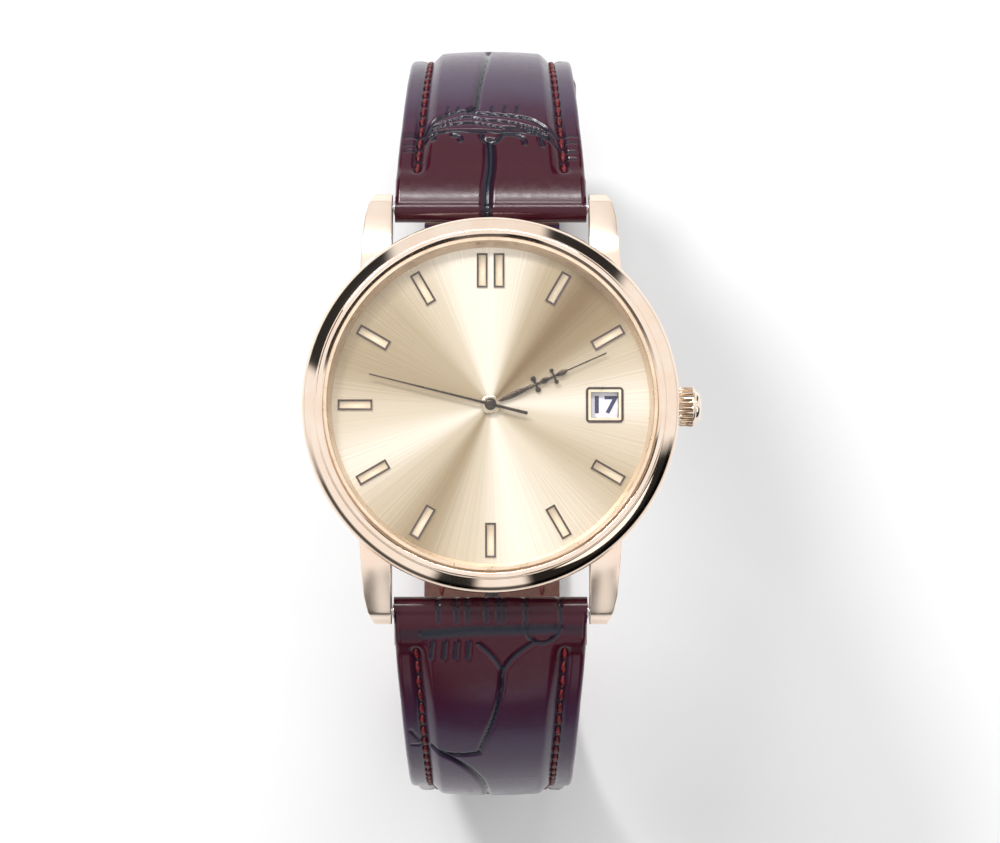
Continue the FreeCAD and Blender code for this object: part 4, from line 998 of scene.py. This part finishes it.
def make_cover(name, half, lines, pad_end, far_round, pointed, body, stands_for):
    rows = cover_rows(half, far_round, pointed)
    shares = across_shares(125)
    under_shares = np.linspace(1, -1, 17)
    ring = len(shares) + len(under_shares) + 6
    obj, column, row = flat_grid(ring, len(rows))
    q = rows[:, None]
    s = np.clip(q, 0.0, half.length)
    w = half_width(half, s) * tip_share(half, s, pointed)
    t = shares[None, :] * w
    on_top = (q >= 0) & (q <= half.length)
    wide = np.broadcast_to(s, t.shape)
    top, inside = cover_top(half, t, np.where(q < 0, q, wide), w, lines, pad_end)
    lowered = np.where(q < 0, END_FALL * (1 - step(0.0, math.pi / 2, -q / HALF_THICK)), 0.0)
    end_folds = folds(lines, t, np.broadcast_to(q, t.shape))[0]
    end_top = HALF_THICK - 0.02 - lowered - end_folds * 0.7
    top = np.where(np.broadcast_to(on_top, t.shape), top, end_top)
    base = np.where(on_top, np.interp(s, INNER_PLACES, [INNER_NEAR, INNER_NEAR, UNDER]), INNER_NEAR)
    if far_round:
        far = np.interp(half.length - s, INNER_PLACES, [INNER_FAR, INNER_FAR, UNDER])
        base = np.where(on_top, np.maximum(base, far), base)
    base = np.minimum(base, top.min(axis=1, keepdims=True) - 0.25)
    edge = top[:, -1:]
    sides = [w, w, w - 0.12]
    levels = [edge * 0.66 + base * 0.34, edge * 0.25 + base * 0.75, base]
    heights = np.concatenate([top] + levels + [np.repeat(base, len(under_shares), 1)]
                             + levels[::-1], axis=1)
    under_t = under_shares[None, :] * (w - 0.2)
    places = np.concatenate([t] + sides + [under_t] + [-x for x in sides[::-1]], axis=1)
    # Painted shade mask: how far each point is darkened in a crease or the stitch channel.
    crease_shade_mask = np.concatenate([inside, np.zeros((len(rows), ring - len(shares)))], axis=1)
    u, v = skin_point(half, np.broadcast_to(q, heights.shape), heights)
    points = np.stack([places, half.side * u, v], axis=2) * MM
    set_points(obj.data, points[row, column])
    layer = obj.data.attributes.new("crease_shade", "FLOAT", "POINT")
    layer.data.foreach_set("value", crease_shade_mask[row, column].astype(np.float32))
    obj.data.materials.append(LEATHER)
    obj.data.materials.append(EDGE_PAINT)
    first_side, last_side = len(shares) - 1, len(shares) + 3
    mirror_side = ring - 3
    for face in obj.data.polygons:
        columns = [column[v] for v in face.vertices]
        right = all(first_side <= c <= last_side for c in columns)
        left = all(c >= mirror_side or c == 0 for c in columns)
        face.material_index = int(right or left)
    close_ends(obj, 2e-7)
    edit_all(obj)
    bpy.ops.mesh.normals_make_consistent(inside=False)
    leave_edit()
    smooth(obj, SKIN_SMOOTH)
    return settle(obj, name, body, None, stands_for)


BUCKLE_LINES = BUCKLE_CREASES + far_creases(28.0, 66.0)
TAIL_LINES = TAIL_CREASES + far_creases(32.0, 100.0)
print("creases", len(BUCKLE_LINES), len(TAIL_LINES))
BUCKLE_PAD_END = 50.0
TAIL_PAD_END = 44.0
TIP = 11.0
buckle_cover = make_cover("buckle_strap_cover", BUCKLE_HALF, BUCKLE_LINES, BUCKLE_PAD_END, True, 0.0,
                          "buckle_half", ["buckle_strap_leather"])
tail_cover = make_cover("tail_strap_cover", TAIL_HALF, TAIL_LINES, TAIL_PAD_END, False, TIP,
                        "tail_half", ["tail_strap_leather"])


# %% [markdown]
# ### Lining
# The soft lining is a second, thinner skin glued inside the cover. It is modelled flat, as
# it is cut: a slab as wide and long as the strap, sliced finely, and then every point is
# laid on the route. The same "lay it on the route" step places the thread and the keepers.

# %% Laying flat work on a route
def lay_on(obj, half, raise_by=None):
    """Bends a piece made flat, in mm as (across, along, height), on to a half's route."""
    flat = np.array([v.co for v in obj.data.vertices], float)
    across, along, height = flat.T
    if raise_by is not None:
        height = height + raise_by(across, along)
    u, v, _ = half.at(along, height)
    set_points(obj.data, np.stack([across, half.side * u, v], axis=1) * MM)
    edit_all(obj)
    bpy.ops.mesh.normals_make_consistent(inside=False)
    leave_edit()
    return obj


LINING_TOP = -0.62
LINING_LOW = -1.48
LINING_IN = 0.08
LINING_ROW = 0.8


def make_lining(name, half, start, end, pointed, body, stands_for):
    rows = np.linspace(start, end - pointed, int((end - start) / LINING_ROW))
    if pointed:
        tip = np.sin(np.linspace(0, math.pi / 2, 30))[1:]
        rows = np.concatenate([rows, end - pointed + pointed * tip])
    under = np.linspace(-1, 1, 25)
    obj, column, row = flat_grid(len(under) + 2, len(rows))
    w = (half_width(half, rows) - LINING_IN) * tip_share(half, rows, pointed)
    t = np.concatenate([under[None, :] * w[:, None], w[:, None], -w[:, None]], axis=1)
    bow = 0.16 * np.abs(under) ** 6
    d = np.concatenate([LINING_LOW + bow, [LINING_TOP, LINING_TOP]])
    d = np.broadcast_to(d, t.shape)
    s = np.broadcast_to(rows[:, None], t.shape)
    set_points(obj.data, np.stack([t, s, d], axis=2)[row, column])
    close_ends(obj, 1e-5)
    lay_on(obj, half)
    smooth(obj, 40)
    return settle(obj, name, body, LINING, stands_for)


buckle_lining = make_lining("buckle_strap_inner", BUCKLE_HALF, WRAP, BUCKLE_HALF.length - WRAP, 0.0,
                            "buckle_half", ["buckle_strap_lining"])
tail_lining = make_lining("tail_strap_inner", TAIL_HALF, WRAP, TAIL_HALF.length, TIP, "tail_half",
                          ["tail_strap_lining"])


# %% [markdown]
# ### Punched holes
# The tongue's holes are punched straight through cover and lining, and the slot for the
# tongue is cut out of the folded end. Cutters the size of the punch are subtracted.

# %% Punching
HOLES = 7
HOLE_PITCH = 6.5
HOLE_R = 0.9
FIRST_HOLE = TAIL_HALF.length - 29.0


def punch(obj, cutter):
    apply_modifier(obj, "BOOLEAN", object=cutter, operation="DIFFERENCE", solver="EXACT")


def hole_punches():
    punches = []
    for number in range(HOLES):
        u, v, heading = TAIL_HALF.at(FIRST_HOLE - number * HOLE_PITCH, 0.0)
        bpy.ops.object.select_all(action="DESELECT")
        bpy.ops.mesh.primitive_cylinder_add(vertices=24, radius=HOLE_R * MM, depth=8 * MM)
        tool = bpy.context.object
        lean = math.pi / 2 + float(heading)
        out = Vector((0.0, -math.cos(lean), math.sin(lean)))
        turn = out.to_track_quat("Z", "X").to_matrix().to_4x4()
        tool.data.transform(Matrix.Translation((0.0, -float(u) * MM, float(v) * MM)) @ turn)
        punches.append(tool)
    return joined(punches[0], punches[1:])


punches = hole_punches()
for skin in (tail_cover, tail_lining):
    punch(skin, punches)
    smooth(skin, SKIN_SMOOTH)
bpy.data.objects.remove(punches)

bar_low, bar_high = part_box("buckle_spring_bar")
bar_middle = (bar_low + bar_high) / 2
SLOT_HALF = 1.4 * MM
bpy.ops.object.select_all(action="DESELECT")
bpy.ops.mesh.primitive_cube_add(size=1)
slot_tool = bpy.context.object
slot_tool.data.transform(Matrix.Translation((0, bar_middle.y + 0.2 * MM, bar_middle.z))
                         @ Matrix.Diagonal((2 * SLOT_HALF, 6.4 * MM, 8 * MM, 1)))
punch(buckle_cover, slot_tool)
smooth(buckle_cover, SKIN_SMOOTH)
bpy.data.objects.remove(slot_tool)
print("covers punched", len(tail_cover.data.polygons), len(buckle_cover.data.polygons))


# %% [markdown]
# ### Saddle stitching
# The thread is two plies twisted together, so each stitch is a short two-lobed rod that
# turns as it goes and dives into the leather at both ends. One stitch is shaped from a
# sphere, repeated along a straight line with the Array modifier, and then laid in the
# channel on the route.

# %% Stitches
STITCH_PITCH = 1.62
STITCH_LONG = 1.42
THREAD_R = 0.23
PLY_TURN = 2.2
PLY_BULGE = 0.24
DIVE = 0.20
THREAD_UP = 0.12


def stitch_row(half, start, end, across_side, under, raise_by):
    count = int((end - start) / STITCH_PITCH)
    bpy.ops.object.select_all(action="DESELECT")
    bpy.ops.mesh.primitive_uv_sphere_add(segments=10, ring_count=10, radius=1.0)
    obj = bpy.context.object
    ball = np.array([v.co for v in obj.data.vertices], float)
    along = ball[:, 2]
    angle = np.arctan2(ball[:, 1], ball[:, 0])
    girth = np.hypot(ball[:, 0], ball[:, 1]) ** 0.35
    lobes = THREAD_R * girth * (1 + PLY_BULGE * np.cos(2 * (angle - PLY_TURN * along)))
    points = np.stack([lobes * np.cos(angle), along * STITCH_LONG / 2,
                       lobes * np.sin(angle) - DIVE * along ** 2], axis=1)
    set_points(obj.data, points)
    apply_modifier(obj, "ARRAY", count=count, use_relative_offset=False, use_constant_offset=True,
                   constant_offset_displace=(0.0, STITCH_PITCH, 0.0))
    row = np.array([v.co for v in obj.data.vertices], float)
    s = row[:, 1] + start
    row[:, 0] += across_side * (half_width(half, s) - STITCH_IN)
    row[:, 1] = s
    row[:, 2] = LINING_LOW - 0.02 - row[:, 2] if under else row[:, 2] + THREAD_UP
    set_points(obj.data, row)
    return lay_on(obj, half, None if under else raise_by)


def sew(name, half, lines, pad_end, start, end, body):
    def channel_floor(across, along):
        w = half_width(half, along)
        centre = np.sign(across) * (w - STITCH_IN)
        return cover_top(half, centre, along, w, lines, pad_end)[0]

    rows = [stitch_row(half, start, end, side, under, channel_floor)
            for side in (-1, 1) for under in (False, True)]
    joined(rows[0], rows[1:])
    smooth(rows[0], 60)
    settle(rows[0], name, body, THREAD)


sew("buckle_strap_thread", BUCKLE_HALF, BUCKLE_LINES, BUCKLE_PAD_END, 4.2, 68.0, "buckle_half")
sew("tail_strap_thread", TAIL_HALF, TAIL_LINES, TAIL_PAD_END, 4.2, 103.0, "tail_half")


# %% [markdown]
# ### Keepers
# A keeper is a strip of the same leather bent into a flat loop and butted together inside.
# Its section has rounded edges and a slight crown. The loop is made round the flat strap
# and then laid on the route with it.

# %% Keeper loops
KEEPER_WALL = 0.9
KEEPER_LONG = 5.0
KEEPER_CORNER = 1.1
FREE_KEEPER_HALF, FREE_ROOM = 8.65, 0.3
SEWN_KEEPER_HALF, SEWN_ROOM = 8.25, 0.25
SEWN_AT = 71.5
STRIP_POINTS = 20


def loop_path(half_w, half_h, corner, count=96):
    """Points and outward directions round a rectangle with round corners."""
    made = []
    quarter = count // 4
    for number, (sx, sy) in enumerate(((1, 1), (-1, 1), (-1, -1), (1, -1))):
        for i in range(quarter):
            angle = math.pi / 2 * (number + i / (quarter - 1))
            out = (math.cos(angle), math.sin(angle))
            made.append((sx * (half_w - corner) + corner * out[0], sy * (half_h - corner) + corner * out[1],
                         out[0], out[1]))
    return np.array(made)


def make_keeper(name, node, half, s, inner_half, room, body):
    strip = []
    for i in range(STRIP_POINTS):
        angle = 2 * math.pi * i / STRIP_POINTS
        wide = math.copysign(abs(math.cos(angle)) ** 0.35, math.cos(angle))
        thick = math.copysign(abs(math.sin(angle)) ** 0.55, math.sin(angle))
        strip.append((wide * KEEPER_LONG / 2, thick * KEEPER_WALL / 2))
    strip = np.array(strip)
    path = loop_path(inner_half + KEEPER_WALL / 2, HALF_THICK + room + KEEPER_WALL / 2, KEEPER_CORNER)
    path = np.concatenate([path, path[:1]])
    obj, column, row = flat_grid(len(strip), len(path))
    t = path[:, None, 0] + path[:, None, 2] * strip[None, :, 1]
    d = path[:, None, 1] + path[:, None, 3] * strip[None, :, 1]
    along = np.broadcast_to(s + strip[None, :, 0], t.shape)
    set_points(obj.data, np.stack([t, along, d], axis=2)[row, column])
    edit_all(obj)
    bpy.ops.mesh.remove_doubles(threshold=1e-4)
    leave_edit()
    lay_on(obj, half)
    smooth(obj, 60)
    return settle(obj, name, body, LEATHER, [node])


keeper_low, keeper_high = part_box("free_keeper")
DOWN_SIDE = BUCKLE_HALF.stretches[0][0] + BUCKLE_HALF.stretches[1][0]
side_top = float(BUCKLE_HALF.at(DOWN_SIDE, 0.0)[1])
free_at = DOWN_SIDE + side_top - (keeper_low.z + keeper_high.z) / 2 / MM
make_keeper("sliding_keeper", "free_keeper", BUCKLE_HALF, free_at, FREE_KEEPER_HALF, FREE_ROOM,
            "free_keeper")
make_keeper("sewn_keeper", "fixed_keeper", BUCKLE_HALF, SEWN_AT, SEWN_KEEPER_HALF, SEWN_ROOM,
            "buckle_half")


# %% [markdown]
# ## Studio
# A pale floor, a white surround, a key lamp from the upper left that throws shadows to the
# lower right, a weak fill and a strip for the upper strap's highlight. The gold needs
# something dark to reflect too, or it looks like pale plastic: the surround is bright in
# broad panels with dark gaps between, and darker low down on the 6 o'clock side.

# %% Floor
bpy.ops.object.select_all(action="DESELECT")
bpy.ops.mesh.primitive_plane_add(size=4.0, location=(0, 0, 0))
floor = bpy.context.object
floor.name = "floor"
floor.data.materials.append(speckled("pale floor", (0.86, 0.86, 0.86), (0.90, 0.90, 0.90), 8.0, 0.0,
                                     (0.6, 0.7), 1e-6))

# %% Surround
PANELS = [(0.000, 0.95), (0.040, 0.95), (0.048, 0.03), (0.112, 0.03), (0.122, 1.0), (0.262, 1.0),
          (0.280, 0.02), (0.460, 0.02), (0.468, 1.0), (0.510, 1.0), (0.518, 0.02), (0.552, 0.02),
          (0.560, 1.0), (0.795, 1.0), (0.801, 0.03), (0.912, 0.03), (0.920, 0.95), (1.000, 0.95)]
LOW_PANELS = [(0.0, 1.0), (0.262, 1.0), (0.280, 0.10), (0.690, 0.10), (0.740, 1.0), (1.0, 1.0)]
world = bpy.data.worlds.new("studio")
bpy.context.scene.world = world
world.use_nodes = True
sky_nodes, sky_links = world.node_tree.nodes, world.node_tree.links
direction = parts_of(sky_nodes, sky_links, sky_nodes.new("ShaderNodeTexCoord").outputs["Generated"])
sky_turn = clock_angle(sky_nodes, sky_links, direction)


def sky_ramp(value, stops):
    return ramp(sky_nodes, sky_links, value, [(place, grey(level)) for place, level in stops])


low_share = sky_ramp(direction["Z"], [(0.30, 1.0), (0.42, 0.0)])
walls = blended(sky_nodes, sky_links, low_share, sky_ramp(sky_turn, PANELS),
                sky_ramp(sky_turn, LOW_PANELS), "MULTIPLY")
ceiling = sky_ramp(direction["Z"], [(0.90, 0.0), (0.96, 1.0)])
sky = blended(sky_nodes, sky_links, ceiling, walls, (1.0, 1.0, 1.0, 1.0))
sky_links.new(sky, sky_nodes["Background"].inputs["Color"])
sky_nodes["Background"].inputs["Strength"].default_value = 1.0


# %% Lamps
def lamp(name, place, size, power, aim=(0.0, 0.0, 0.05), breadth=0.0):
    """A round lamp, or a strip of the given size and breadth."""
    light = bpy.data.lights.new(name, "AREA")
    light.shape = "RECTANGLE" if breadth else "DISK"
    light.size = size
    if breadth:
        light.size_y = breadth
    light.energy = power
    obj = bpy.data.objects.new(name, light)
    bpy.context.scene.collection.objects.link(obj)
    obj.location = place
    obj.rotation_euler = (Vector(aim) - Vector(place)).to_track_quat("-Z", "Y").to_euler()


lamp("key", (-0.30, 0.36, 0.62), 0.16, 2.6)
lamp("fill", (0.35, -0.30, 0.60), 0.45, 0.7)
lamp("strip", (0.0, 0.322, 0.586), 0.30, 1.1, (0.0, 0.022, 0.066), 0.035)

# %% [markdown]
# ## Camera
# The view is almost straight down, leaning a few degrees to the 6 o'clock side, from
# close enough that the strap narrows as it falls away.

# %% Camera
VIEW_HEIGHT = math.radians(84.5)
VIEW_DISTANCE = 0.380
camera_data = bpy.data.cameras.new("camera")
camera_data.lens = 136.8
camera_data.sensor_width = 36.0
camera = bpy.data.objects.new("camera", camera_data)
bpy.context.scene.collection.objects.link(camera)
target = Vector((0.00095, -0.00192, BACK_Z + 7.95 * MM))
toward = Vector((0.0, -math.cos(VIEW_HEIGHT), math.sin(VIEW_HEIGHT)))
camera.location = target + toward * VIEW_DISTANCE
camera.rotation_euler = (-toward).to_track_quat("-Z", "Y").to_euler()
bpy.context.scene.camera = camera
print("camera at", [round(x, 3) for x in camera.location])

# %% [markdown]
# ## Tone
# Polished metal spans a wide range of brightness. The plain tone curve keeps its darks dark
# and its colours full, where a filmic curve would turn gold and leather milky.

# %% Tone curve
bpy.context.scene.view_settings.view_transform = "Standard"

bpy.context.view_layer.update()
